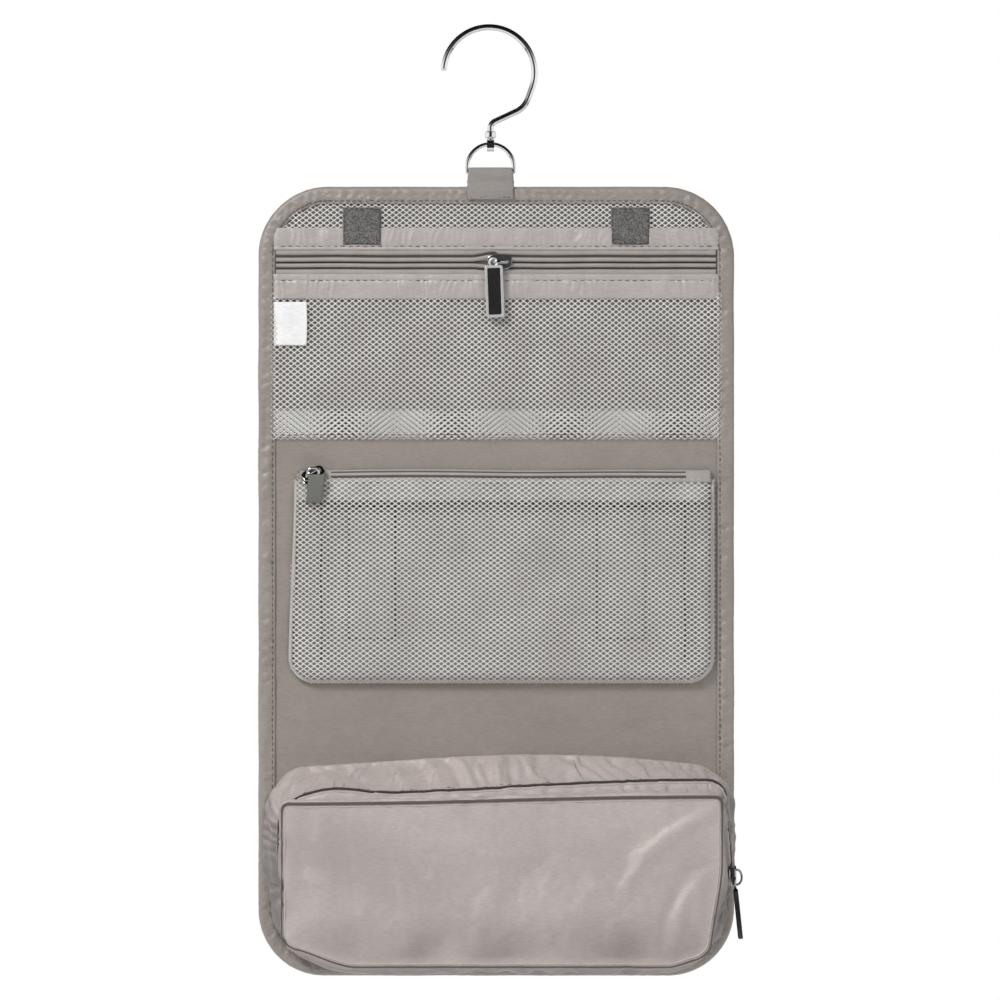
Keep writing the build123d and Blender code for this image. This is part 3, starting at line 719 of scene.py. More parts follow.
def make_binding():
    """Folded tape round the edge, puckered by its two rows of stitches."""
    stations = outline_stations(1.5 * MM)
    x, z, out_x, out_z = stations.T
    length = np.concatenate([[0], np.cumsum(np.hypot(np.diff(x), np.diff(z)))])
    back = back_level(z, BINDING_BACK, SPINE_BINDING_BACK)
    middle = (BINDING_FRONT + back) / 2
    thick = (back - BINDING_FRONT) / 2
    front_in = [9.0, 8.6, 8.0, 7.5, 6.9, 6.0, 4.9, 3.9, 3.1]  # mm in from the bag's edge
    turn = np.radians(np.linspace(90, -90, 9))
    round_off = 2.6 * MM
    sections = []
    for d in front_in:
        sections.append((np.full_like(z, d * MM), -np.ones_like(z)))
    for angle in turn[1:-1]:
        sections.append((round_off * (1 - math.cos(angle)) + 0 * z, -math.sin(angle) + 0 * z))
    for d in reversed(front_in):
        sections.append((np.full_like(z, d * MM), np.ones_like(z)))
    columns = len(sections)
    points = np.zeros((len(z), columns, 3))
    pucker = ripple(length, 0 * length, 31, 5.5 * MM, 0, 0.3)
    slow = ripple(length, 0 * length, 32, 45 * MM, 0, 0.3)
    for k, (inward, level) in enumerate(sections):
        side = np.sign(level)
        d = inward / MM
        hollow = np.exp(-((d - STITCH_INSET / MM) / 0.7) ** 2)
        tuck = smooth(8.2, 9.0, d)
        crown = np.exp(-((d - 4.6) / 2.2) ** 2)
        lift = -0.50 * hollow - 0.80 * tuck + crown * (0.42 * pucker + 0.2 * slow)
        skew = 0.34 * ripple(length + inward * 1.7, inward, 33 + int(side[0] > 0), 4.6 * MM)
        lift = lift + skew * smooth(0.5, 4, d) * (1 - tuck)
        y = middle + level * thick + np.where(np.abs(level) > 0.99, side * lift * MM, 0)
        edge = (0.10 * slow + 0.04 * pucker) * MM * (1 - smooth(1, 5, d))
        points[:, k, 0] = x - out_x * (inward - edge)
        points[:, k, 1] = y
        points[:, k, 2] = z - out_z * (inward - edge)
    loop = np.concatenate([points[-1:], points, points[:1]])
    along = np.gradient(loop, axis=0)[1:-1]
    across = np.gradient(points, axis=1)
    normal = np.cross(along, across)
    normal /= np.maximum(np.linalg.norm(normal, axis=-1, keepdims=True), 1e-12)
    pieces = []
    nodes = (("top_binding",), ("upper_spine_binding",), ("middle_binding",),
             ("lower_spine_binding", "bottom_binding"))
    for k, runs in enumerate(binding_runs(stations)):
        made, faces, normals = [], [], []
        for run in runs:
            faces += [tuple(reversed(f)) for f in grid_faces(len(run), columns, False, len(made))]
            made += list(points[run].reshape(-1, 3))
            normals += [tuple(n) for n in normal[run].reshape(-1, 3)]
        piece = mesh_piece(f"binding_{k + 1}", made, faces, BINDING)
        piece.data.normals_split_custom_set_from_vertices(normals)
        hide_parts(*nodes[k])
        pieces.append(piece)
    bend_at_folds(pieces)
    return stations


def make_binding_stitches(stations):
    """The two rows of thread that close the binding, front and back."""
    x, z, out_x, out_z = stations.T
    steps = np.hypot(np.diff(np.append(x, x[0])), np.diff(np.append(z, z[0])))
    length = np.concatenate([[0], np.cumsum(steps)])
    count = int(length[-1] / STITCH_PITCH)
    dice = np.random.default_rng(41)
    sorted_spots = [[] for _ in range(4)]
    for k in range(count):
        here = np.interp((k + 0.5) * length[-1] / count, length, np.arange(len(length)))
        i = int(here) % len(x)
        j = (i + 1) % len(x)
        part = here - int(here)
        px, pz = x[i] + (x[j] - x[i]) * part, z[i] + (z[j] - z[i]) * part
        inset = STITCH_INSET + dice.normal(0, 0.08 * MM)
        px, pz = px - out_x[i] * inset, pz - out_z[i] * inset
        near_tab = abs(px) < 13 * MM and pz > PANEL_TOP - 12 * MM
        along = Vector((-out_z[i], 0, out_x[i]))
        back = float(back_level(np.array([pz]), BINDING_BACK, SPINE_BINDING_BACK)[0])
        group = sum(pz < c for c in CUTS)
        if not near_tab:
            sorted_spots[group].append(((px, BINDING_FRONT + 0.30 * MM, pz), along))
            sorted_spots[group].append(((px, back - 0.30 * MM, pz), along))
    pieces = [stitches(f"binding_stitches_{k + 1}", spots, radius=0.34 * MM)
              for k, spots in enumerate(sorted_spots)]
    bend_at_folds(pieces)


# ---- Nets ------------------------------------------------------------------------------------
def net_piece(name, place, left, right, low, high, wide=NET_WIDE, tall=NET_HIGH, hole=0.69,
              knot=0.34 * MM, strand=0.22 * MM, shift=(0.0, 0.0), inside=None):
    """A knitted net of diamond cells: place(x, z) is the cloth's y, inside(x, z) its outline."""
    points, numbers, faces = [], {}, []

    def corner(key, x, z, lift):
        """A point of the net's front or back, made once and shared by the cells round it."""
        if key not in numbers:
            numbers[key] = len(points)
            points.append((x, lift, z))
        return numbers[key]

    columns = int(round((right - left) / wide))
    rows = int(round((high - low) / tall))
    wide, tall = (right - left) / columns, (high - low) / rows
    cells = [(2 * i, 2 * j) for i in range(columns + 1) for j in range(rows + 1)]
    cells += [(2 * i + 1, 2 * j + 1) for i in range(columns) for j in range(rows)]
    ring = [(1, 0), (0.5, 0.5), (0, 1), (-0.5, 0.5), (-1, 0), (-0.5, -0.5), (0, -1), (0.5, -0.5)]
    used = {}
    for ci, cj in cells:
        x0, z0 = left + (ci / 2 + shift[0]) * wide, low + (cj / 2 + shift[1]) * tall
        if inside is not None and not inside(x0, z0):
            continue
        if not (left <= x0 <= right and low <= z0 <= high):
            continue
        outer, inner = [], []
        for n, (a, b) in enumerate(ring):
            thick = knot if n % 2 == 0 else strand
            key = (round(ci * 2 + a * 2), round(cj * 2 + b * 2))
            x, z = x0 + a * wide / 2, z0 + b * tall / 2
            outer.append((corner((key, 0), x, z, -thick), corner((key, 1), x, z, thick)))
            grow = hole * (1.0 if n % 2 == 0 else 1.12)
            inner.append(len(points))
            points.append((x0 + a * wide / 2 * grow, 0.0, z0 + b * tall / 2 * grow))
        for n in range(8):
            m = (n + 1) % 8
            (fa, ba), (fb, bb) = outer[n], outer[m]
            faces.append((fa, inner[n], inner[m], fb))
            faces.append((ba, bb, inner[m], inner[n]))
            pair = tuple(sorted((fa, fb)))
            used.setdefault(pair, []).append((fa, fb, ba, bb))
    for shared in used.values():
        if len(shared) == 1:
            fa, fb, ba, bb = shared[0]
            faces.append((fa, fb, bb, ba))
    made = np.array(points)
    made[:, 1] += place(made[:, 0], made[:, 2])
    return mesh_piece(name, made, faces, NET)


# ---- Top pocket: net strip, facings, zip, pads and label -------------------------------------
def strip_grid(name, x0, x1, z_top, z_low, level, columns, rows):
    """A sewn strip of facing satin across the bag; level(x, z) is its front."""
    x, z = np.meshgrid(np.linspace(x0, x1, columns), np.linspace(z_top, z_low, rows))
    return sheet_piece(name, x, level(x, z), z, FACING, 0.5 * MM)


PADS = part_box("top_fastener_pads")
PADS_MIDDLE = (PADS[0].x + PADS[1].x) / 2
PADS_APART = (PADS[1].x - PADS[0].x) / 2 - 10.5 * MM
FACING_UPPER, FACING_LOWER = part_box("zip_facing_upper"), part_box("zip_facing_lower")
POCKET_LEFT, POCKET_RIGHT = INNER_LEFT - 0.8 * MM, INNER_RIGHT + 0.8 * MM
POCKET_Y = FACING_UPPER[0].y
NET_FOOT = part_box("top_mesh_lower")[0].z
HEM_HIGH = 14.5 * MM


def facing_level(top, low, seam, seed):
    """Puckered satin: sewn flat at the seam, wrinkled up and down beside it."""
    def level(x, z):
        swell = np.sin(np.clip((top - z) / (top - low), 0, 1) * math.pi) ** 0.6
        wave = 0.55 * folds(x, z * 0.45, seed, 6.5 * MM, 0, 0.45)
        wave = wave + 0.45 * ripple(x, z * 0.6, seed + 5, 15 * MM, 0, 0.8)
        dent = 0.40 * np.exp(-((z - seam) / (0.6 * MM)) ** 2)
        ends = np.minimum(x - INNER_LEFT, INNER_RIGHT - x)
        sunk = 0.5 * (1 - smooth(-0.5 * MM, 1.6 * MM, ends))
        pads = 1 - 0.7 * np.exp(-((np.abs(x - PADS_MIDDLE) - PADS_APART) / (12 * MM)) ** 4)
        lift = (0.42 * swell + (0.15 + swell) * 0.45 * wave) * pads - dent - sunk
        return POCKET_Y + 0.35 * MM - lift * MM
    return level


def seam_across(z, depth, pitch, seed):
    """Stitch places on a straight seam from side to side of the top pocket."""
    start = (POCKET_LEFT + 3 * MM, POCKET_Y - depth, z)
    end = (POCKET_RIGHT - 3 * MM, POCKET_Y - depth, z)
    return stitch_line(start, end, pitch, seed=seed)


def make_facings():
    """The two satin strips that the top zip is sewn between, and their seams."""
    upper, lower = FACING_UPPER, FACING_LOWER
    upper_seam = upper[0].z + 1.9 * MM
    lower_seam = lower[1].z - 3.4 * MM
    first = strip_grid(
        "zip_facing_upper_cloth", POCKET_LEFT, POCKET_RIGHT, upper[1].z + 0.6 * MM, upper[0].z,
        facing_level(upper[1].z, upper[0].z, upper_seam, 51), 420, 22,
    )
    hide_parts("zip_facing_upper")
    second = strip_grid(
        "zip_facing_lower_cloth", POCKET_LEFT, POCKET_RIGHT, lower[1].z, lower[0].z - 0.5 * MM,
        facing_level(lower[1].z, lower[0].z, lower_seam, 61), 420, 24,
    )
    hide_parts("zip_facing_lower")
    for piece, box in ((first, upper), (second, lower)):
        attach(piece, "top_section")
    spots = seam_across(upper_seam, 0.02 * MM, 3.9 * MM, 52)
    spots += seam_across(lower_seam, 0.02 * MM, 3.9 * MM, 62)
    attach(stitches("facing_stitches", spots, length=2.4 * MM), "top_section")


def make_net_strip():
    """The short net between the top binding and the upper facing."""
    inset = 9.2 * MM

    def level(x, z):
        return POCKET_Y + 0.25 * MM - 0.18 * MM * ripple(x, z, 71, 40 * MM)

    def inside(x, z):
        return abs(x - BAG_X) < half_width_at(z, inset) and z < PANEL_TOP - inset

    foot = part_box("top_mesh_strip")[0].z - 1 * MM
    net = net_piece("net_strip", level, INNER_LEFT, INNER_RIGHT, foot, PANEL_TOP - 7 * MM,
                    inside=inside)
    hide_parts("top_mesh_strip")
    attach(net, "top_section")


def net_level(x, z):
    """The top pocket's net, which stands out a little at its middle."""
    belly = smooth(0, 30 * MM, FACING_LOWER[0].z - z) * smooth(0, 20 * MM, z - NET_FOOT)
    return POCKET_Y + 0.3 * MM - belly * 0.25 * MM - 0.12 * MM * ripple(x, z, 72, 55 * MM)


def hem_level(x, z):
    """The turned-up hem, just behind the net."""
    return net_level(x, z) + 0.6 * MM


def make_net_panel():
    """The top pocket's net, and its hem, where the net lies double."""
    panel = net_piece("net_panel", net_level, POCKET_LEFT, POCKET_RIGHT, NET_FOOT,
                      FACING_LOWER[0].z + 1.2 * MM)
    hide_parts("top_mesh_upper", "top_mesh_lower")
    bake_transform(panel)
    hem = net_piece("net_hem", hem_level, POCKET_LEFT, POCKET_RIGHT, NET_FOOT,
                    NET_FOOT + HEM_HIGH, wide=NET_WIDE * 1.05, tall=NET_HIGH * 1.03,
                    shift=(0.4, 0.1))
    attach(hem, "upper_spine")
    spots = seam_across(NET_FOOT + 1.2 * MM, 0.2 * MM, 3.4 * MM, 73)
    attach(stitches("hem_stitches", spots), "upper_spine")


def zip_tape(name, x0, x1, profile, material, mouth=0.0, spread=0.0):
    """A zip tape as a strip whose section is a list of (y, z) points, drawn aside at the mouth."""
    columns = TAPE_COLUMNS
    x = np.linspace(x0, x1, columns)
    section = np.array(profile)
    rows = len(section)
    points = np.zeros((rows, columns, 3))
    points[:, :, 0] = x[None, :]
    points[:, :, 1] = section[:, 0][:, None]
    points[:, :, 2] = section[:, 1][:, None]
    wave = 0.10 * MM * ripple(x, 0 * x, 81, 60 * MM, 0, 0.2)
    drawn = smooth(mouth - 15 * MM, mouth - 4 * MM, x) * (1 - smooth(mouth - 3 * MM, mouth, x))
    points[:, :, 2] += wave[None, :] + spread * drawn[None, :]
    return mesh_piece(name, points.reshape(-1, 3), grid_faces(rows, columns), material)


def make_top_zip():
    """Two tapes with their covered coils meeting at the middle, as ridges and gutters whose dark
    colour is painted shade.
    """
    high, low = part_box("top_zip_upper_tape"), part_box("top_zip_lower_tape")
    left, right = INNER_LEFT + 0.4 * MM, INNER_RIGHT - 0.6 * MM
    front = high[0].y
    centre = (high[0].z + low[1].z) / 2 - 0.35 * MM
    slider = (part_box("top_slider_body")[0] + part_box("top_slider_body")[1]) / 2

    def half_zip(sign, outer):
        """From the outer edge to the middle: flat tape, gutter, coil ridge, down into the slit."""
        reach = abs(outer - centre)
        marks = (
            (1.16, 0.75), (0.99, 0.62), (0.90, 0.35), (0.74, 0.30), (0.66, 0.55), (0.62, 1.40),
            (0.40, 1.45), (0.35, 0.60), (0.32, 0.15), (0.27, -0.06), (0.21, -0.06), (0.16, 0.15),
            (0.125, 0.60), (0.11, 1.40), (0.0, 1.45),
        )
        return [(front + depth * MM, centre + sign * share * reach) for share, depth in marks]

    shaded_groove_rows = (5, 6, 12, 13)
    for name, sign, outer, spread, node in (
        ("zip_upper_tape", 1, high[1].z, 1.5 * MM, "top_zip_upper_tape"),
        ("zip_lower_tape", -1, low[0].z, -0.9 * MM, "top_zip_lower_tape"),
    ):
        profile = half_zip(sign, outer)
        piece = zip_tape(name, left, right, profile, ZIP_TAPE, mouth=slider.x, spread=spread)
        # The groove rows take the dark material, as painted shade.
        piece.data.materials.append(ZIP_GROOVE_SHADE)
        for face in piece.data.polygons:
            face.material_index = int(face.index // (TAPE_COLUMNS - 1) in shaded_groove_rows)
        if sign < 0:
            piece.data.flip_normals()
        thicken(piece, 0.35 * MM)
        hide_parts(node)
        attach(piece, "top_section")
    spots = []
    coil_pitch = 1.25 * MM
    for k in range(int((right - left) / coil_pitch)):
        x = left + (k + 0.5) * coil_pitch
        for sign in (1, -1):
            spots.append(((x, front + 0.20 * MM, centre + sign * 1.6 * MM), (0, 0.25, 1)))
    coil = stitches("zip_coil", spots, LIGHT_TAPE, length=1.5 * MM, radius=0.34 * MM)
    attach(coil, "top_section")


def patch(name, low, high, depth, material, seed, lumps=0.15 * MM, rim=1.2 * MM, back=False):
    """A sewn-on patch: a rounded slab with a pressed rim, standing to -y, or to +y at the back."""
    columns = max(12, int((high.x - low.x) / (0.7 * MM)))
    rows = max(12, int((high.z - low.z) / (0.7 * MM)))
    x, z = np.meshgrid(np.linspace(low.x, high.x, columns), np.linspace(high.z, low.z, rows))
    edge = np.minimum(np.minimum(x - low.x, high.x - x), np.minimum(z - low.z, high.z - z))
    rise = smooth(-0.1 * MM, 0.8 * MM, edge) * (0.75 + 0.25 * smooth(rim, rim * 1.6, edge))
    wobble = lumps * ripple(x, z, seed, 2.2 * MM) * smooth(0, rim, edge)
    y_front = high.y - depth * rise - wobble
    if back:
        y_front = low.y + depth * rise + wobble
    y_base = np.full_like(x, low.y if back else high.y)
    front = np.stack([x, y_front, z], axis=-1).reshape(-1, 3)
    base = np.stack([x, y_base, z], axis=-1).reshape(-1, 3)
    faces = grid_faces(rows, columns)
    count = rows * columns
    faces += [tuple(reversed([i + count for i in face])) for face in faces]
    border = list(range(columns)) + [r * columns + columns - 1 for r in range(1, rows)]
    border += [(rows - 1) * columns + c for c in range(columns - 2, -1, -1)]
    border += [r * columns for r in range(rows - 2, 0, -1)]
    for a, b in zip(border, border[1:] + border[:1]):
        faces.append((b, a, a + count, b + count))
    if back:
        faces = [tuple(reversed(face)) for face in faces]
    return mesh_piece(name, np.concatenate([front, base]), faces, material)


def frame_stitches(name, low, high, y, inset, body, pitch=2.6 * MM, material=None, cross=False):
    """Stitches round a rectangle, and across it from corner to corner where cross is true."""
    x0, x1, z0, z1 = low.x + inset, high.x - inset, low.z + inset, high.z - inset
    corners = [(x0, y, z0), (x1, y, z0), (x1, y, z1), (x0, y, z1)]
    spots = []
    for k in range(4):
        spots += stitch_line(corners[k], corners[(k + 1) % 4], pitch, seed=90 + k)
    if cross:
        spots += stitch_line(corners[0], corners[2], pitch, seed=95)
        spots += stitch_line(corners[1], corners[3], pitch, seed=96)
    piece = stitches(name, spots, material or DARK_THREAD_AND_SHADE, length=1.8 * MM, radius=0.22 * MM)
    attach(piece, body)
    return piece


def patch_pair(names, node, width, grow, seed, lumps=0.15 * MM, back=False, depth=None):
    """Two equal patches at the ends of a node's box; grow moves their front and back in y."""
    low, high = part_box(node)
    pair = []
    for side, x0 in (("left", low.x), ("right", high.x - width)):
        a = Vector((x0, low.y + grow[0], low.z))
        b = Vector((x0 + width, high.y + grow[1], high.z))
        piece = patch(f"{names}_{side}", a, b, depth or b.y - a.y, FELT, seed, lumps, back=back)
        if side == "left":
            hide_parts(node)
        pair.append((side, piece, a, b))
    return pair


def make_pads():
    """The hook-and-loop pads on the top pocket, and their partners on the back of the bag."""
    width = 21 * MM
    for side, pad, a, b in patch_pair(
        "fastener_pad", "top_fastener_pads", width, (-0.45 * MM, 0.3 * MM), 101,
    ):
        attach(pad, "top_section")
        frame_stitches(f"pad_stitches_{side}", a, b, a.y + 0.05 * MM, 1.1 * MM, "top_section")
    for side, pad, a, b in patch_pair(
        "back_patch", "back_fastener_patches", width, (-0.2 * MM, 0), 103, back=True,
    ):
        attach(pad, "bottom_section")
        frame_stitches(f"patch_stitches_{side}", a, b, b.y - 0.05 * MM, 1.1 * MM,
                       "bottom_section")


def make_label():
    """The blank care label, sewn in at its left edge and curling a little at its right."""
    low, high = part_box("care_label")
    x, z = np.meshgrid(np.linspace(INNER_LEFT - 0.6 * MM, high.x, 26),
                       np.linspace(high.z, low.z, 34))
    free = (x - low.x) / (high.x - low.x)
    y = high.y + 0.35 * MM - 1.2 * MM * smooth(-0.05, 0.3, free) - 0.3 * MM * free ** 2
    y = y - 0.12 * MM * ripple(x, z, 105, 14 * MM)
    x = x + 0.4 * MM * free * np.sin((z - low.z) / (high.z - low.z) * 3)
    label = sheet_piece("care_label_cloth", x, y, z, LABEL, 0.22 * MM)
    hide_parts("care_label")
    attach(label, "top_section")


# ---- Hanging tab and the metal on top --------------------------------------------------------
def make_tab():
    """The doubled tab that holds the ring: over its bar, and sewn down in front and behind."""
    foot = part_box("hanging_tab")[0].z
    bar_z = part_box("d_ring")[0].z + 1.1 * MM
    apart = 1.75 * MM
    heights = np.linspace(foot, bar_z - 1.5 * MM, 22)
    over_binding = 1 - smooth(PANEL_TOP - 3 * MM, PANEL_TOP + 3 * MM, heights)
    path = [(-apart - 2.0 * MM * out, z) for z, out in zip(heights, over_binding)]
    for angle in np.linspace(0, math.pi, 13)[1:-1]:
        path.append((-apart * math.cos(angle), bar_z + 2.3 * MM * math.sin(angle)))
    path += [(apart + 1.3 * MM * out, z) for z, out in zip(heights[::-1], over_binding[::-1])]
    path = np.array(path)
    columns = 36
    across = np.linspace(-1, 1, columns)
    points = np.zeros((len(path), columns, 3))
    for k, (y, z) in enumerate(path):
        narrow = float(smooth(bar_z - 5 * MM, bar_z + 1 * MM, z))
        half = 12.1 * MM - 0.5 * MM * narrow
        points[k, :, 0] = half * across + 0.25 * MM * math.sin(k * 0.7)
        curl = 0.35 * MM * np.abs(across) ** 6
        points[k, :, 1] = y + np.sign(y) * (-curl) + 0.10 * MM * ripple(
            across * 12 * MM, np.full(columns, z), 111, 9 * MM)
        points[k, :, 2] = z
    tab = mesh_piece("hanging_tab_cloth", points.reshape(-1, 3),
                     grid_faces(len(path), columns), TAB_CLOTH)
    tab.data.flip_normals()
    thicken(tab, 0.8 * MM)
    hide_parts("hanging_tab")
    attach(tab, "top_section")
    spots = []
    z = foot + 1.2 * MM
    for y in (-4.35 * MM, 3.55 * MM):
        spots += stitch_line((-11 * MM, y, z), (11 * MM, y, z), 2.4 * MM, seed=112)
    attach(stitches("tab_stitches", spots, DARK_THREAD_AND_SHADE, length=1.9 * MM), "top_section")


def make_hook_metal():
    """The hook, swivel and ring keep the CAD's own shapes, and are plated."""
    for node in HOOK_METAL:
        mesh = frame["nodes"][node].data
        mesh.materials.clear()
        mesh.materials.append(CHROME)
        keep_rest_place(mesh)
        mesh.shade_smooth()
        smooth_by_angle(frame["nodes"][node])


def smooth_by_angle(piece, angle=40):
    """Keeps the piece's real edges crisp and its curved faces smooth."""
    mesh = piece.data
    mesh.shade_smooth()
    mesh.set_sharp_from_angle(angle=math.radians(angle))


make_lining()
make_back_cloth()
edge_stations = make_binding()
make_binding_stitches(edge_stations)
make_facings()
make_net_strip()
make_net_panel()
make_top_zip()
make_pads()
make_label()
make_tab()
make_hook_metal()


# ---- Sweeps and joined shapes ----------------------------------------------------------------
def tube(path, radius, sides=8, closed=False, flat=1.0, flat_axis=None):
    """Points and faces of a tube along a path, its radius one number or one per point."""
    path = [Vector(p) for p in path]
    count = len(path)
    radii = np.broadcast_to(np.asarray(radius, float), (count,))
    points, faces = [], []
    side = None
    for k, here in enumerate(path):
        after = path[(k + 1) % count] if closed or k + 1 < count else path[k]
        before = path[k - 1] if closed or k > 0 else path[k]
        along = (after - before).normalized()
        if side is None:
            side = Vector(flat_axis) if flat_axis else along.orthogonal()
        side = (side - along * side.dot(along)).normalized()
        up = along.cross(side)
        for turn in range(sides):
            angle = 2 * math.pi * turn / sides
            out = side * math.cos(angle) + up * math.sin(angle) * flat
            points.append(here + out * radii[k])
    faces = grid_faces(count, sides, True)
    if closed:
        last = (count - 1) * sides
        for turn in range(sides):
            after = (turn + 1) % sides
            faces.append((last + turn, last + after, after, turn))
    else:
        faces.append(tuple(reversed(range(sides))))
        faces.append(tuple(range((count - 1) * sides, count * sides)))
    return points, faces


def plate(outline, low, high):
    """Points and faces of a plate: an outline of (a, b) pairs, between two levels of the third."""
    count = len(outline)
    points = [Vector((a, b, low)) for a, b in outline] + [Vector((a, b, high)) for a, b in outline]
    faces = [tuple(reversed(range(count))), tuple(range(count, 2 * count))]
    for k in range(count):
        m = (k + 1) % count
        faces.append((k, m, m + count, k + count))
    return points, faces


def ring_plate(outer, inner, low, high):
    """As plate, with a window: both outlines have the same number of points."""
    count = len(outer)
    points = []
    for level in (low, high):
        points += [Vector((a, b, level)) for a, b in outer]
        points += [Vector((a, b, level)) for a, b in inner]
    faces = []
    for k in range(count):
        m = (k + 1) % count
        faces.append((k, k + count, m + count, m))
        faces.append((2 * count + k, 2 * count + m, 3 * count + m, 3 * count + k))
        faces.append((k, m, 2 * count + m, 2 * count + k))
        faces.append((count + k, 3 * count + k, 3 * count + m, count + m))
    return points, faces


def joined(name, parts, material, bevel=0.0, place=None):
    """One piece from several (points, faces) parts, with worn edges where bevel is given."""
    points, faces = [], []
    for more, linked in parts:
        faces += [tuple(i + len(points) for i in face) for face in linked]
        points += [Vector(p) for p in more]
    if place is not None:
        points = [place @ p for p in points]
    piece = mesh_piece(name, points, faces, material)
    if bevel:
        rounding = piece.modifiers.new("edges", "BEVEL")
        rounding.width = bevel
        rounding.segments = 3
        rounding.limit_method = "ANGLE"
        rounding.angle_limit = math.radians(40)
    smooth_by_angle(piece, 50)
    return piece


def rounded_box(half_a, half_b, radius, centre=(0, 0), steps=5):
    """An outline: a rectangle with round corners, anticlockwise."""
    outline = []
    for sx, sy, start in ((1, 1, 0), (-1, 1, 90), (-1, -1, 180), (1, -1, 270)):
        for k in range(steps + 1):
            angle = math.radians(start + 90 * k / steps)
            outline.append((
                centre[0] + sx * (half_a - radius) + radius * math.cos(angle),
                centre[1] + sy * (half_b - radius) + radius * math.sin(angle),
            ))
    return outline


# ---- Zip sliders and pulls -------------------------------------------------------------------
def slider_parts(length, width, rise):
    """A slider in its own frame: u along the zip, v across it, n away from the cloth."""
    half, wide = length / 2, width / 2
    nose = [(-half, 0.62 * wide), (-half * 0.45, 0.98 * wide), (half * 0.3, 1.0 * wide),
            (half * 0.8, 0.80 * wide), (half, 0.45 * wide)]
    outline = [(u, -v) for u, v in nose] + list(reversed(nose))
    parts = [plate(outline, 0.9 * MM, 2.0 * MM), plate(outline, -2.0 * MM, -1.1 * MM)]
    for sign in (-1, 1):
        flange = [(-half * 0.8, sign * wide * 0.98), (half * 0.7, sign * wide * 0.98),
                  (half * 0.7, sign * wide * 0.80), (-half * 0.8, sign * wide * 0.80)]
        if sign > 0:
            flange.reverse()
        parts.append(plate(flange, -0.1 * MM, 1.4 * MM))
    post = [(half * 0.75, wide * 0.2), (half * 0.35, wide * 0.25), (half * 0.35, -wide * 0.25),
            (half * 0.75, -wide * 0.2)]
    parts.append(plate(list(reversed(post)), -1.2 * MM, 1.0 * MM))
    arch = []
    for k in range(15):
        angle = math.pi * k / 14
        arch.append((-half * 0.66 * math.cos(angle), 0,
                     1.7 * MM + (rise - 2.3 * MM) * math.sin(angle) ** 0.75))
    parts.append(tube(arch, 1.15 * MM, 10, flat=0.55, flat_axis=(0, 1, 0)))
    return parts


def pull_parts(width, length, rim, thick, neck=4.0 * MM):
    """A framed pull hanging from its loop at the origin: a across, b down, c its thickness."""
    top = -neck * 0.62
    centre = (0, top - length / 2)
    outer = rounded_box(width / 2, length / 2, 1.3 * MM, centre)
    inner = rounded_box(width / 2 - rim, length / 2 - rim * 1.05, 0.6 * MM, centre)
    frame_part = [ring_plate(outer, inner, -thick / 2, thick / 2)]
    loop = []
    for k in range(20):
        angle = 2 * math.pi * k / 20
        loop.append((math.cos(angle) * 2.1 * MM, -0.9 * MM + math.sin(angle) * 2.0 * MM, 0))
    frame_part.append(tube(loop, 0.62 * MM, 8, closed=True))
    fill = rounded_box(width / 2 - rim + 0.15 * MM, length / 2 - rim + 0.1 * MM, 0.6 * MM, centre)
    return frame_part, [plate(fill, -thick * 0.44, thick * 0.44)]


def facing(origin, along, across, out):
    """The matrix that carries a part's own axes to directions of the frame, at an origin."""
    turn = Matrix((Vector(along), Vector(across), Vector(out))).transposed().to_4x4()
    return Matrix.Translation(Vector(origin)) @ turn


def make_slider(name, place, length, width, rise, bevel=0.35 * MM):
    """A zip's slider, on the body of its own name."""
    slider = joined(name, slider_parts(length, width, rise), SMOKED, bevel, place)
    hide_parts(f"{name}_body")
    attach(slider, name)


def make_framed_pull(body, place, pull, metal, rim_bevel, fill_bevel):
    """A pull's metal rim and its black filling."""
    rims, fill = pull
    for part, parts, material, node, slot, bevel in (
        ("rim", rims, metal, "frame", "chrome_metal", rim_bevel),
        ("fill", fill, INSERT, "insert", "pull_insert_black", fill_bevel),
    ):
        piece = joined(f"{body}_{part}", parts, material, bevel, place)
        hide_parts(f"{body}_{node}")
        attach(piece, body)


def leaning(origin, degrees, across, out):
    """The matrix of a pull that hangs at an origin, turned a little about y."""
    turn = Matrix.Rotation(math.radians(degrees), 4, "Y")
    return Matrix.Translation(Vector(origin)) @ turn @ facing((0, 0, 0), across, (0, 0, 1), out)


def make_top_slider():
    low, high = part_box("top_slider_body")
    centre = (low + high) / 2
    origin = (centre.x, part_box("top_zip_upper_tape")[0].y + 0.35 * MM, centre.z)
    place = facing(origin, (1, 0, 0), (0, 0, 1), (0, -1, 0))
    make_slider("top_slider", place, high.x - low.x, high.z - low.z, 5.0 * MM)
    joint = JOINTS["top_pull_swing"]["pos_m"]
    hung = (centre.x - 3.5 * MM, joint[1] - 0.1 * MM, joint[2] + 0.6 * MM)
    place = leaning(hung, -2.0, (1, 0, 0), (0, -1, 0))
    length = joint[2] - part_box("top_pull_frame")[0].z - 1.4 * MM
    pull = pull_parts(9.6 * MM, length, 1.4 * MM, 1.5 * MM)
    make_framed_pull("top_pull", place, pull, BRUSHED, 0.5 * MM, 0.25 * MM)


def make_pocket_slider():
    low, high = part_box("pocket_slider_body")
    centre = (low + high) / 2
    place = facing((low.x + 3.0 * MM, centre.y, centre.z), (0, 0, -1), (0, 1, 0), (1, 0, 0))
    make_slider("pocket_slider", place, high.z - low.z, high.y - low.y, 5.6 * MM)
    joint = JOINTS["pocket_pull_swing"]["pos_m"]
    hung = Vector(joint) + Vector((-1.7 * MM, 0, -0.6 * MM))
    place = leaning(hung, -6, (0, 1, 0), (1, 0, 0))
    length = joint[2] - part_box("pocket_pull_frame")[0].z - 3.0 * MM
    pull = pull_parts(8.8 * MM, length, 1.2 * MM, 2.3 * MM)
    make_framed_pull("pocket_pull", place, pull, DARK_METAL, 0.45 * MM, 0.2 * MM)


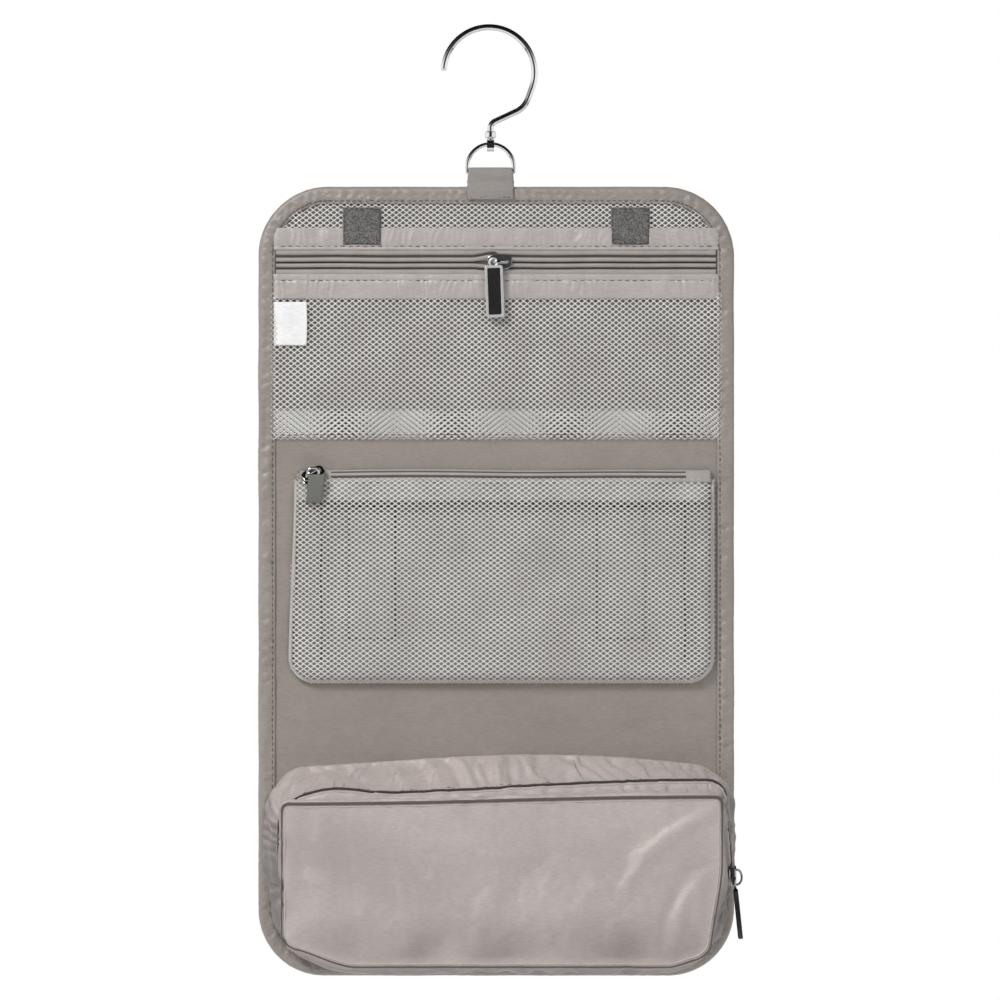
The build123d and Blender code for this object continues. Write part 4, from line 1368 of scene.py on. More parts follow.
# ---- The deep pocket -------------------------------------------------------------------------
# How many points each run and corner of the pocket's outline has, from the bottom middle.
POCKET_COUNTS = (46, 12, 34, 13, 136, 13, 34, 12, 46)


def rounded_loop(left, right, top, bottom, r_top, r_low):
    """A closed outline from the bottom middle, leftwards and round, always with as many points."""
    corners = {
        "low_left": (left + r_low, bottom + r_low, r_low, -90, -180),
        "top_left": (left + r_top, top - r_top, r_top, 180, 90),
        "top_right": (right - r_top, top - r_top, r_top, 90, 0),
        "low_right": (right - r_low, bottom + r_low, r_low, 0, -90),
    }
    middle = (left + right) / 2
    loop = []

    def run(x0, z0, x1, z1, count):
        for k in range(count):
            t = k / count
            loop.append((x0 + (x1 - x0) * t, z0 + (z1 - z0) * t))

    def bend(name, count):
        cx, cz, radius, start, stop = corners[name]
        for k in range(count):
            angle = math.radians(start + (stop - start) * k / count)
            loop.append((cx + radius * math.cos(angle), cz + radius * math.sin(angle)))

    n = POCKET_COUNTS
    run(middle, bottom, left + r_low, bottom, n[0])
    bend("low_left", n[1])
    run(left, bottom + r_low, left, top - r_top, n[2])
    bend("top_left", n[3])
    run(left + r_top, top, right - r_top, top, n[4])
    bend("top_right", n[5])
    run(right, top - r_top, right, bottom + r_low, n[6])
    bend("low_right", n[7])
    run(right - r_low, bottom, middle, bottom, n[8])
    return np.array(loop)


ZIP_END = JOINTS["pocket_flap_open"]["pos_m"][2]


def through(knots, values, t):
    """A smooth curve through values at knots, read at t."""
    knots, values = np.asarray(knots, float), np.asarray(values, float)
    slopes = np.gradient(values, knots)
    k = np.clip(np.searchsorted(knots, t, side="right") - 1, 0, len(knots) - 2)
    width = knots[k + 1] - knots[k]
    s = (t - knots[k]) / width
    return ((2 * s ** 3 - 3 * s ** 2 + 1) * values[k] + (s ** 3 - 2 * s ** 2 + s) * width * slopes[k]
            + (3 * s ** 2 - 2 * s ** 3) * values[k + 1] + (s ** 3 - s ** 2) * width * slopes[k + 1])


def pocket_surface():
    """The gusset's loops from the bag to the zip and on to the front seam."""
    rear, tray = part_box("pocket_rear_gusset"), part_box("pocket_front_upper")
    tray_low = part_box("pocket_front_lower")
    y_bag, y_zip, y_front = rear[1].y, rear[0].y, tray[0].y + 3.4 * MM
    left, right, top, bottom = rear[0].x, rear[1].x, rear[1].z, rear[0].z + 3.5 * MM
    f_left, f_right, f_top, f_low = tray[0].x + 2 * MM, tray[1].x, tray[1].z, tray_low[0].z
    knots = (  # share of the depth, y, left, right, top, bottom, top radius, bottom radius
        (0.00, y_bag, left + 3 * MM, right - 2 * MM, top + 1 * MM, bottom, 17, 34),
        (0.22, y_bag - 9 * MM, left - 0.8 * MM, right + 1.5 * MM, top - 2 * MM,
         bottom + 0.2 * MM, 19, 34),
        (0.50, y_zip, f_left - 2.4 * MM, right - 1.2 * MM, top - 12.8 * MM,
         bottom + 1.0 * MM, 9, 30),
        (0.76, y_zip - 11 * MM, f_left - 2.4 * MM, f_right + 3 * MM, top - 15.4 * MM,
         bottom + 1.6 * MM, 7, 21),
        (0.92, y_front - 0.6 * MM, f_left - 2.2 * MM, f_right + 1.8 * MM, f_top + 3.0 * MM,
         f_low - 1.6 * MM, 5, 10),
        (1.00, y_front, f_left, f_right, f_top, f_low, 3, 7),
    )
    table = np.array([row[:6] + (row[6] * MM, row[7] * MM) for row in knots])
    rows = 25
    shares = np.linspace(0, 1, rows)
    loops = []
    for t in shares:
        y, x0, x1, z1, z0, r1, r0 = [through(table[:, 0], table[:, k], t) for k in range(1, 8)]
        if t == shares[(rows - 1) // 2]:
            y = y_zip
        loop = rounded_loop(x0, x1, z1, z0, r1, r0)
        tilt = through(table[:, 0], [0, 2.4, 8.0, 5.6, 4.0, 3.6], t) * MM
        upper = smooth(f_low + 45 * MM, f_top, loop[:, 1])
        across = np.clip((loop[:, 0] - x0) / (x1 - x0), 0, 1)
        loop[:, 1] += tilt * upper * (smooth(0.05, 0.95, across) - 0.5)
        nip = 4.5 * MM * (1 - smooth(ZIP_END - 18 * MM, ZIP_END, loop[:, 1])) * (1 - t) ** 0.5
        loop[:, 0] += nip * (1 - 2 * across)
        crown = 7 * np.sin(math.pi * across ** 1.3) - 4.5
        loop[:, 1] += crown * MM * upper * (1 - smooth(0.05, 0.5, t))
        arch = np.exp(-((loop[:, 0] + 83 * MM) / (19 * MM)) ** 2)
        at_zip = math.exp(-((t - 0.5) / 0.2) ** 2)
        loop[:, 1] += 3.5 * MM * arch * upper * at_zip
        from_corner = np.maximum(loop[:, 0] - f_left, 0)
        loop[:, 1] -= 6.5 * MM * np.exp(-from_corner / (9 * MM)) * upper * at_zip
        beside = smooth(ZIP_END, ZIP_END + 32 * MM, loop[:, 1]) * smooth(0.85, 1, across)
        loop[:, 0] -= (x1 - f_right - 2.8 * MM) * beside * at_zip
        near_front = smooth(0.45, 1.0, t)
        foot = smooth(f_low + 45 * MM, f_low + 3 * MM, loop[:, 1]) * near_front
        loop[:, 1] += foot * (10 * MM * smooth(0.17, 0.0, across) + 5 * MM * smooth(0.9, 1, across))
        drawn_in = smooth(f_low + 55 * MM, f_low, loop[:, 1]) * smooth(0.6, 1.0, across)
        loop[:, 0] -= 6.5 * MM * drawn_in * near_front
        loops.append(np.stack([loop[:, 0], np.full(len(loop), y), loop[:, 1]], axis=-1))
    loops = np.array(loops)
    return loops, shares


def crease(x, z, start, end, width):
    """A soft ridge from start to end, highest at its middle."""
    (ax, az), (bx, bz) = start, end
    ax, az, bx, bz, width = ax * MM, az * MM, bx * MM, bz * MM, width * MM
    length = math.hypot(bx - ax, bz - az)
    along = ((x - ax) * (bx - ax) + (z - az) * (bz - az)) / length ** 2
    bow = 0.10 * length * np.sin(np.clip(along, 0, 1) * math.pi)
    side = ((x - ax) * (bz - az) - (z - az) * (bx - ax)) / length - bow
    return np.exp(-(side / width) ** 2) * smooth(-0.15, 0.3, along) * (1 - smooth(0.6, 1.15, along))


# Drags and dents of the front panel, in mm: start, end, width and height.
PANEL_CREASES = (
    ((121, -409), (66, -458), 4.6, 1.5), ((70, -450), (20, -486), 11.0, 1.2),
    ((118, -432), (90, -470), 6.0, -1.1), ((108, -447), (97, -482), 3.4, 1.3),
    ((101, -450), (90, -484), 3.2, -1.0), ((114, -442), (108, -470), 3.6, 1.0),
    ((34, -436), (0, -474), 9.0, -1.1), ((14, -446), (-10, -480), 7.0, 0.9),
    ((-108, -412), (-76, -436), 6.0, 1.2), ((-106, -424), (-90, -446), 4.6, -1.0),
    ((-90, -412), (-72, -446), 6.0, 0.9), ((-106, -456), (-64, -480), 8.0, -1.4),
    ((-106, -470), (-84, -486), 4.6, 1.2), ((-66, -474), (-58, -489), 4.6, 1.1),
    ((-44, -476), (-36, -489), 4.8, 1.3), ((-26, -476), (-18, -489), 4.2, -1.0),
    ((-8, -474), (4, -489), 4.6, 1.4), ((10, -476), (16, -489), 3.6, -1.0),
    ((38, -476), (52, -489), 5.0, 1.1), ((62, -470), (76, -488), 4.2, 1.2),
    ((-112, -434), (-86, -452), 7.0, 1.3), ((-60, -456), (-24, -484), 9.0, -1.3),
    ((-20, -468), (30, -486), 10.0, -1.2), ((84, -420), (60, -440), 8.0, -0.9),
)
# Folds across the top of the gusset, in mm: x at the bag, x at the zip, width and height.
GUSSET_CREASES = (
    (-112, -60, 6.0, 2.4), (-92, -56, 3.4, -2.2), (-54, -40, 3.4, 2.4), (-43, -30, 2.2, -1.6),
    (-34, -23, 2.6, 2.0), (-26, -14, 2.2, -1.8), (-18, -7, 2.4, 2.2), (-8, 1, 2.0, -1.4),
    (0, 6, 1.9, 1.9), (9, 12, 1.7, -1.0), (13, 16, 1.6, 1.3), (20, 23, 1.8, 1.0),
    (43, 46, 2.0, 2.6), (49, 51, 2.2, -1.8), (70, 73, 1.8, 1.4), (76, 78, 1.8, 1.6),
    (83, 84, 2.6, -1.0), (102, 98, 5.0, 1.4),
)


def fill_outline(loop, step):
    """Points inside a closed outline in x and z, spaced by step, and triangles over them all."""
    flat = [Vector((p[0], p[2])) for p in loop]
    low, high = loop.min(0), loop.max(0)
    area = np.array([[p[0], p[2]] for p in loop])
    spots = []
    row = 0
    z = low[2] + step
    while z < high[2] - step * 0.6:
        x = low[0] + step * (1 + 0.5 * (row % 2))
        while x < high[0] - step * 0.6:
            gap = np.hypot(area[:, 0] - x, area[:, 1] - z).min()
            if gap > step * 0.62 and inside_outline(area, x, z):
                spots.append(Vector((x, z)))
            x += step
        z += step * 0.866
        row += 1
    count = len(flat)
    edges = [(k, (k + 1) % count) for k in range(count)]
    _, _, faces, origins, _, _ = delaunay_2d_cdt(
        flat + spots, edges, [list(range(count))], 1, 1e-6)
    back = [group[0] for group in origins]
    return spots, [tuple(back[i] for i in face) for face in faces]


def inside_outline(area, x, z):
    """True if a point is inside a closed outline, by counting crossings."""
    ax, az = area[:, 0], area[:, 1]
    bx, bz = np.roll(ax, -1), np.roll(az, -1)
    crosses = (az > z) != (bz > z)
    at = ax + (z - az) / np.where(np.abs(bz - az) < 1e-12, 1e-12, bz - az) * (bx - ax)
    return bool(np.count_nonzero(crosses & (x < at)) % 2)


def settle_cloth(piece, pins, grow, limit, frames=24):
    """Lets the cloth buckle and sag a little, no point further than limit, and keeps the result."""
    mesh = piece.data
    before = np.zeros(len(mesh.vertices) * 3, np.float32)
    mesh.vertices.foreach_get("co", before)
    group = piece.vertex_groups.new(name="pins")
    for level in np.unique(np.round(pins, 2)):
        chosen = [int(i) for i in np.nonzero(np.round(pins, 2) == level)[0]]
        group.add(chosen, float(level), "REPLACE")
    cloth = piece.modifiers.new("cloth", "CLOTH")
    settings = cloth.settings
    settings.quality = 6
    settings.mass = 0.12
    settings.tension_stiffness = 18
    settings.compression_stiffness = 18
    settings.shear_stiffness = 8
    settings.bending_stiffness = 0.25
    settings.air_damping = 4
    settings.vertex_group_mass = "pins"
    settings.pin_stiffness = 0.6
    settings.shrink_min = -grow
    settings.use_pressure = True
    settings.uniform_pressure_force = 0.25
    settings.effector_weights.gravity = 0.25
    cloth.collision_settings.use_collision = False
    cloth.collision_settings.use_self_collision = False
    scene = bpy.context.scene
    scene.frame_start, scene.frame_end = 1, frames
    cloth.point_cache.frame_start, cloth.point_cache.frame_end = 1, frames
    for number in range(1, frames + 1):
        scene.frame_set(number)
    shown = piece.evaluated_get(bpy.context.evaluated_depsgraph_get())
    after = np.zeros(len(mesh.vertices) * 3, np.float32)
    shown.data.vertices.foreach_get("co", after)
    piece.modifiers.remove(cloth)
    piece.vertex_groups.clear()
    scene.frame_set(1)
    move = (after - before).reshape(-1, 3)
    size = np.linalg.norm(move, axis=1, keepdims=True)
    move *= limit * np.tanh(size / limit) / np.maximum(size, 1e-9)
    return before.reshape(-1, 3) + move


def gusset_folds(loops, shares):
    """How far the gusset's cloth stands out or in: folds across it, and rolls along its corners."""
    along = np.cumsum(np.linalg.norm(np.diff(loops[0], axis=0, append=loops[0, :1]), axis=1))
    along = along[None, :] + 0 * shares[:, None]
    depth = shares[:, None] * 50 * MM + 0 * along
    free = np.sin(math.pi * shares)[:, None] ** 0.6
    free = free * (1 - 0.85 * np.exp(-((shares[:, None] - 0.5) / 0.05) ** 2))
    rear = (shares[:, None] < 0.5)
    swirl = along + depth * 0.7 * np.cos(along / (40 * MM))
    height = 3.6 * folds(swirl, depth * 0.5, 201, 21 * MM, 0.3, 0.5) * np.where(rear, 1.0, 0.45)
    height += 1.2 * ripple(along, depth, 202, 12 * MM, 0.3, 0.9)
    up = np.abs(outward_of(loops[0])[:, 2])[None, :]
    height *= 0.3 + 0.45 * up
    height += 1.1 * np.sin(shares[:, None] * 2 * math.pi * 4 + along / (45 * MM)) * (1 - up) * rear
    on_top = smooth(0.6, 0.95, outward_of(loops[0])[:, 2])[None, :] * rear
    for at_bag, at_zip, width, rise in GUSSET_CREASES:
        centre = (at_bag + (at_zip - at_bag) * shares[:, None] * 2) * MM
        height += rise * np.exp(-((loops[:, :, 0] - centre) / (width * MM)) ** 2) * on_top
    corner = np.zeros_like(along)
    for x_side, z_side in ((0, 1), (1, 1)):
        box = loops[0].min(0), loops[0].max(0)
        gap = np.hypot(loops[0, :, 0] - box[x_side][0], loops[0, :, 2] - box[z_side][2])
        corner += np.exp(-(gap / (34 * MM)) ** 2)[None, :]
    rolls = np.sin(depth / (50 * MM) * 2 * math.pi * 3.2 + along / (30 * MM))
    height += 1.3 * corner * rolls * np.where(rear, 1.0, 0.5)
    return height * free * MM


def pushed_out(loops, shares):
    """The loops with the gusset's folds in them."""
    out = loops - loops.mean(axis=1, keepdims=True)
    out[:, :, 1] = 0
    out /= np.maximum(np.linalg.norm(out, axis=-1, keepdims=True), 1e-9)
    return loops + out * gusset_folds(loops, shares)[:, :, None]


def bellied(seam, spots, edge):
    """The front panel's inner points: a belly, the drags of its cloth and slow ripples."""
    f_low, f_top = seam[:, 2].min(), seam[:, 2].max()
    inner = np.array([[p.x, seam[0, 1], p.y] for p in spots])
    x, z = inner[:, 0], inner[:, 2]
    belly = (0.8 + 4.2 * smooth(f_top - 20 * MM, f_low + 15 * MM, z)) * smooth(0, 26 * MM, edge)
    for start, end, width, height in PANEL_CREASES:
        belly += height * crease(x, z, start, end, width) * smooth(0, 5 * MM, edge)
    belly += 0.25 * ripple(x, z, 204, 24 * MM, 0.9, 0.8) * smooth(0, 12 * MM, edge)
    inner[:, 1] -= belly * MM
    return inner


def settled(whole, drawn, shares, count):
    """The pocket's points once its cloth has settled: pinned at the bag, held at zip and seam."""
    first_front = len(shares) * count
    pins = np.zeros(len(drawn))
    share_of = np.repeat(shares, count)
    pins[:first_front] = 0.03 + 0.25 * np.exp(-((share_of - 0.5) / 0.03) ** 2)
    pins[:first_front] += 0.5 * np.exp(-((share_of - 1.0) / 0.03) ** 2)
    pins[:count] = 1.0
    pins[first_front:] = 0.4
    points = settle_cloth(whole, pins, 0.03, 4 * MM)
    points[first_front:] += (drawn[first_front:] - points[first_front:]) * 0.6
    return points


def satin_painted_shade(loops, shares, f_low, inner, edge):
    """How much painted shade darkens the satin at each point: on the gusset's sides and underside,
    at the front panel's foot, and in broad soft patches over the front panel.
    """
    rows, count = loops.shape[:2]
    first_front = rows * count
    x, z = inner[:, 0], inner[:, 2]
    out_z = np.concatenate([outward_of(loop)[:, 2] for loop in loops])
    deep = np.zeros(first_front + len(inner))
    deep[:first_front] = 1 - smooth(-0.15, 0.75, out_z)
    deep[:first_front] *= 1 - 0.6 * smooth(0.75, 1.0, np.repeat(shares, count))
    deep[first_front - count:first_front] = 0
    foot = 1 - smooth(f_low + 4 * MM, f_low + 34 * MM, z)
    deep[first_front:] = foot * (0.30 + 0.13 * ripple(x, z, 205, 34 * MM))
    deep[first_front:] += 0.10 + 0.13 * ripple(x, z, 206, 75 * MM, 0.9, 0.9)
    deep[first_front:] *= smooth(0, 6 * MM, edge)
    return np.clip(deep, 0, 1)


def make_deep_pocket():
    """The pocket's cloth: one skin, settled as one and then parted along the zip."""
    loops, shares = pocket_surface()
    rows, count = loops.shape[:2]
    zip_at = (rows - 1) // 2
    seam = loops[-1].copy()
    spots, front_faces = fill_outline(seam, 2.7 * MM)
    edge = np.array([np.hypot(seam[:, 0] - p.x, seam[:, 2] - p.y).min() for p in spots])
    inner = bellied(seam, spots, edge)
    loops = pushed_out(loops, shares)
    drawn = np.concatenate([loops.reshape(-1, 3), inner])
    points = drawn.copy()
    first_front = rows * count
    seam_first = (rows - 1) * count
    faces = grid_faces(rows, count, True)
    for face in front_faces:
        faces.append(tuple(
            seam_first + i if i < count else first_front + i - count for i in reversed(face)
        ))
    whole = mesh_piece("pocket_whole", points, faces, SATIN)
    points = settled(whole, drawn, shares, count)
    for row, share in ((zip_at - 1, 0.4), (zip_at, 0.8), (zip_at + 1, 0.4),
                       (rows - 2, 0.4), (rows - 1, 0.75)):
        part = slice(row * count, (row + 1) * count)
        points[part] += (drawn[part] - points[part]) * share
    points[zip_at * count:(zip_at + 1) * count, 1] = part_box("pocket_rear_gusset")[0].y
    bpy.data.objects.remove(whole)
    rear_points = points[:(zip_at + 1) * count]
    rear = mesh_piece("pocket_rear_cloth", rear_points, grid_faces(zip_at + 1, count, True), SATIN)
    first_kept = zip_at * count
    kept_faces = [tuple(i - first_kept for i in face) for face in faces if min(face) >= first_kept]
    tray = mesh_piece("pocket_front_cloth", points[first_kept:], kept_faces, SATIN)
    # Painted shade for the pocket's satin, stored in its 'hollow' attribute.
    deep = satin_painted_shade(loops, shares, seam[:, 2].min(), inner, edge)
    keep_painted_shade(rear, deep[:(zip_at + 1) * count])
    keep_painted_shade(tray, deep[first_kept:])
    for piece in (rear, tray):
        soft = piece.modifiers.new("soft", "SUBSURF")
        soft.levels = soft.render_levels = 1
        thicken(piece, 0.5 * MM)
    crease_seam(tray, (rows - 1 - zip_at) * count, count)
    return rear, tray, points[:first_front].reshape(rows, count, 3)


def crease_seam(piece, first, count):
    """Keeps the front seam's edge sharp when the cloth is subdivided."""
    mesh = piece.data
    crease = mesh.attributes.new("crease_edge", "FLOAT", "EDGE")
    for edge in mesh.edges:
        a, b = edge.vertices
        if first <= a < first + count and first <= b < first + count:
            crease.data[edge.index].value = 0.6


def hold_rear(piece):
    """What lies between the bag and the zip is attached to the bottom section's body, with a mesh of
    its own.
    """
    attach(piece, "bottom_section")
    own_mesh(piece)


def hold_front(piece):
    """What lies in front of the zip has its placement baked into its points."""
    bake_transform(piece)


def unit_rows(directions):
    """Each row of an array as a unit vector."""
    return directions / np.maximum(np.linalg.norm(directions, axis=1, keepdims=True), 1e-9)


def make_pocket_zip(before, zip_row, after, run):
    """The zip's two lips, and a dark tube between them, which is painted shade in the slit."""
    outward = outward_of(zip_row)
    for name, row, hold in (("pocket_zip_rear_lip", before, hold_rear),
                            ("pocket_zip_front_lip", after, hold_front)):
        path = zip_row + unit_rows(row - zip_row) * 1.3 * MM + outward * (0.35 * MM)
        lip = joined(name, [tube(path[run], 0.8 * MM, 8)], SATIN)
        hold(lip)
    # Painted shade: a dark tube along the zip's slit.
    ridge = zip_row + outward * 0.95 * MM + np.array([0, -0.3 * MM, 0])
    gap = joined("pocket_zip_gap", [tube(ridge[run], 0.62 * MM, 8)], DARK_THREAD_AND_SHADE)
    hold_rear(gap)


def make_front_seam(seam):
    """The seam round the front panel: a dark tube in the groove outside it, which is painted shadow,
    and a small ridge inside.
    """
    outward = outward_of(seam)
    groove = seam + outward * 0.6 * MM + np.array([0, -0.75 * MM, 0])
    top = seam[:, 2].max()
    weight = 0.48 + 0.32 * smooth(top - 9 * MM, top - 3 * MM, seam[:, 2])
    # Painted shadow along the seam, thicker across the top where the gusset overhangs it.
    line = joined("pocket_front_seam", [tube(groove, weight * MM, 8, True)], SEAM_SHADE)
    ridge = seam - outward * 1.0 * MM + np.array([0, -0.35 * MM, 0])
    piping = joined("pocket_front_ridge", [tube(ridge, 0.6 * MM, 8, True)], SATIN)
    for piece in (piping, line):
        hold_front(piece)


def make_pocket_stitches(before, zip_row, run):
    """The row of stitches behind the zip, and the thread tacks at its two ends."""
    outward = outward_of(zip_row)
    places = zip_row + unit_rows(before - zip_row) * 3.0 * MM + outward * 0.35 * MM
    spots = [(places[k], zip_row[k + 1] - zip_row[k]) for k in run[:-1]]
    hold_rear(stitches("pocket_zip_stitches", spots, length=1.9 * MM, radius=0.25 * MM))
    tacks = []
    for k in (run[0], run[-1]):
        middle = zip_row[k] + outward[k] * 0.7 * MM
        path = [middle + np.array([0, step * MM, 0]) for step in (-3.2, -1, 1, 3.2)]
        tacks.append(tube(path, 0.7 * MM, 6))
    hold_rear(joined("pocket_zip_tacks", tacks, DARK_THREAD_AND_SHADE))


def make_pocket():
    """The deep pocket: its cloth, its zip and the seam round its front."""
    rear, tray, rows = make_deep_pocket()
    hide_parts("pocket_rear_gusset", "pocket_zip_rear_tape")
    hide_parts("pocket_front_lower", "pocket_lower_gusset", "pocket_front_upper",
                "pocket_flap_gusset", "pocket_zip_front_tape")
    hold_rear(rear)
    hold_front(tray)
    zip_at = (len(rows) - 1) // 2
    before, zip_row, after = rows[zip_at - 1:zip_at + 2]
    run = np.nonzero(zip_row[:, 2] > ZIP_END)[0]
    make_pocket_zip(before, zip_row, after, run)
    make_front_seam(rows[-1])
    make_pocket_stitches(before, zip_row, run)


def outward_of(loop):
    """Unit directions away from a closed loop's inside, in x and z."""
    along = np.roll(loop, -1, axis=0) - np.roll(loop, 1, axis=0)
    out = np.stack([-along[:, 2], 0 * along[:, 1], along[:, 0]], axis=-1)
    out /= np.maximum(np.linalg.norm(out, axis=1, keepdims=True), 1e-12)
    if ((loop - loop.mean(0)) * out).sum() < 0:
        out = -out
    return out


# ---- The lift-off net pouch ------------------------------------------------------------------
POUCH_BACK, POUCH_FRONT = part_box("pouch_back"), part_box("pouch_front_mesh")
POUCH_LEFT, POUCH_RIGHT = POUCH_FRONT[0].x + 3.2 * MM, POUCH_FRONT[1].x
POUCH_TOP, POUCH_FOOT = POUCH_FRONT[1].z, POUCH_FRONT[0].z
POUCH_Y, POUCH_NET_Y = POUCH_BACK[0].y + 0.35 * MM, POUCH_FRONT[0].y + 0.4 * MM
POUCH_CORNER = 13 * MM
BAND_LOW = POUCH_TOP - 14.5 * MM
STRIP_WIDE = 25 * MM


def pouch_left_at(z):
    """The pouch's left side leans out a little towards its foot."""
    return POUCH_LEFT - 3.2 * MM * smooth(POUCH_TOP, POUCH_FOOT, z)


def pouch_level(x, z):
    """The net's y: a soft belly that rolls down to the back at the sides and foot."""
    corner = POUCH_CORNER
    side = np.minimum(x - pouch_left_at(z), POUCH_RIGHT - x)
    foot = z - POUCH_FOOT
    inner_x, inner_z = np.maximum(corner - side, 0), np.maximum(corner - foot, 0)
    round_gap = corner - np.hypot(inner_x, inner_z)
    gap = np.where((side < corner) & (foot < corner), round_gap, np.minimum(side, foot))
    roll = np.clip(gap / (6.5 * MM), 0, 1)
    dome = np.sqrt(np.clip(1 - (1 - roll) ** 2, 0, 1))
    lid = 0.55 + 0.45 * smooth(0, 16 * MM, POUCH_TOP - z)
    sag = 0.9 * MM * smooth(POUCH_TOP, POUCH_FOOT, z) * roll
    sag = sag - 0.35 * MM * ripple(x, z, 301, 60 * MM)
    return POUCH_Y + (POUCH_NET_Y - POUCH_Y) * dome * lid - sag * dome


def inside_pouch(x, z):
    """True within the pouch's outline, whose foot corners are round."""
    corner = POUCH_CORNER
    side = min(x - float(pouch_left_at(z)), POUCH_RIGHT - x)
    foot = z - POUCH_FOOT
    if side < corner and foot < corner:
        return corner - math.hypot(corner - side, corner - foot) > -0.3 * MM
    return side > -0.3 * MM and foot > -0.2 * MM


def make_pouch_net():
    net = net_piece("pouch_net", pouch_level, POUCH_LEFT - 3.4 * MM, POUCH_RIGHT, POUCH_FOOT,
                    POUCH_TOP - 3.3 * MM, 3.75 * MM, 2.7 * MM, inside=inside_pouch)
    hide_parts("pouch_front_mesh")
    return net, "white_mesh"


def make_pouch_back():
    corner = POUCH_CORNER
    share, z = np.meshgrid(np.linspace(0, 1, 96),
                           np.linspace(POUCH_TOP + 0.6 * MM, POUCH_FOOT + 0.3 * MM, 52))
    under = np.maximum(corner - (z - POUCH_FOOT), 0)
    side_in = corner - np.sqrt(np.maximum(corner ** 2 - under ** 2, 0))
    x0, x1 = pouch_left_at(z) + side_in, POUCH_RIGHT - side_in
    x = x0 + (x1 - x0) * share
    y = POUCH_Y + 0.15 * MM * ripple(x, z, 302, 30 * MM)
    cloth = sheet_piece("pouch_back_cloth", x, y, z, POUCH_BACKING, 0.5 * MM, 1.0)
    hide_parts("pouch_back")
    return cloth, "lining_satin"


def make_pouch_band():
    """The tape along the pouch's mouth, seen through the net."""
    x, z = np.meshgrid(np.linspace(POUCH_LEFT + 1 * MM, POUCH_RIGHT - 2 * MM, 120),
                       np.linspace(POUCH_TOP - 3.4 * MM, BAND_LOW, 9))
    y = pouch_level(x, z) + 0.9 * MM + 0.2 * MM * ripple(x, z, 303, 22 * MM)
    z = z + 0.5 * MM * ripple(x, 0 * z, 304, 50 * MM) * smooth(POUCH_TOP, BAND_LOW, z)
    return sheet_piece("pouch_top_band", x, y, z, BAND_TAPE, 0.3 * MM), "binding_tape"


def behind_net(spots, depth):
    """A path just inside the pouch's net, through (x, z) spots."""
    return [(x, float(pouch_level(x, z)) + depth, z) for x, z in spots]


def make_pouch_seams():
    """The dark seams seen through the net: one near each side, and one under the band."""
    left, right = POUCH_LEFT + 13.5 * MM, POUCH_RIGHT - 15 * MM
    lines = []
    for x0 in (left, right):
        spots = [(x0 + 0.5 * MM * math.sin(k * 0.35), BAND_LOW - k * 3 * MM) for k in range(30)]
        spots = [(x, z) for x, z in spots if z > POUCH_FOOT + 9 * MM]
        lines.append(tube(behind_net(spots, 0.75 * MM), 0.55 * MM, 6))
    across = [(left + (right - left) * k / 60, BAND_LOW - 0.4 * MM) for k in range(61)]
    lines.append(tube(behind_net(across, 0.8 * MM), 0.5 * MM, 6))
    seams = joined("pouch_inner_seams", lines, DARK_THREAD_AND_SHADE)
    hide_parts("pouch_seam_tape")
    return seams, "binding_tape"


def foot_corner(centre_x, centre_z, start):
    """A quarter turn round one of the pouch's foot corners, without its two ends."""
    turn = [math.radians(start + 90 * k / 12) for k in range(1, 12)]
    return [(centre_x + POUCH_CORNER * math.cos(angle), centre_z + POUCH_CORNER * math.sin(angle))
            for angle in turn]


def make_pouch_edge():
    """The pale tape that binds the pouch's sides and foot."""
    left = float(pouch_left_at(POUCH_FOOT)) + POUCH_CORNER
    right, foot = POUCH_RIGHT - POUCH_CORNER, POUCH_FOOT + POUCH_CORNER
    mouth = POUCH_TOP - 3 * MM
    rim = [(float(pouch_left_at(z)), z) for z in np.linspace(mouth, foot, 34)]
    rim += foot_corner(left, foot, 180)
    rim += [(x, POUCH_FOOT) for x in np.linspace(left, right, 70)]
    rim += foot_corner(right, foot, 270)
    rim += [(POUCH_RIGHT, z) for z in np.linspace(foot, mouth, 34)]
    path = [(x, POUCH_Y - 0.9 * MM + 0.25 * MM * math.sin(k * 0.9), z)
            for k, (x, z) in enumerate(rim)]
    return joined("pouch_edge", [tube(path, 1.05 * MM, 8)], LIGHT_TAPE), "white_mesh"


def make_strip_stitches():
    """The stitches round the pouch's two hook strips, which show through the net."""
    low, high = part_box("pouch_hook_strips")
    y = POUCH_Y - 0.15 * MM
    spots = []
    for x0 in (low.x, high.x - STRIP_WIDE):
        corners = [(x0, y, low.z), (x0 + STRIP_WIDE, y, low.z), (x0 + STRIP_WIDE, y, high.z),
                   (x0, y, high.z)]
        for k in range(4):
            spots += stitch_line(corners[k], corners[(k + 1) % 4], 2.3 * MM, seed=310 + k)
    sewn = stitches("pouch_strip_stitches", spots, DARK_THREAD_AND_SHADE, radius=0.55 * MM)
    return sewn, "binding_tape"


def make_pouch():
    """Every piece that lifts off with the pouch, and the two strips that stay on the lining."""
    pieces = [make_pouch_net(), make_pouch_back(), make_pouch_band(), make_pouch_seams(),
              make_pouch_edge(), make_strip_stitches()]
    for piece, slot in pieces:
        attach(piece, "pouch")
    for _, hooks, _, _ in patch_pair(
        "pouch_hooks", "pouch_hook_strips", STRIP_WIDE, (0.05 * MM, 0), 321, 0.05 * MM, True,
        0.5 * MM,
    ):
        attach(hooks, "pouch")
    for side, loops, a, b in patch_pair(
        "pouch_loops", "pouch_loop_strips", STRIP_WIDE, (0, 0.3 * MM), 331, 0.06 * MM,
    ):
        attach(loops, "middle_section")
        frame_stitches(f"loop_strip_stitches_{side}", a, b, a.y - 0.02 * MM, 1.2 * MM,
                       "middle_section")
    make_pouch_zip()


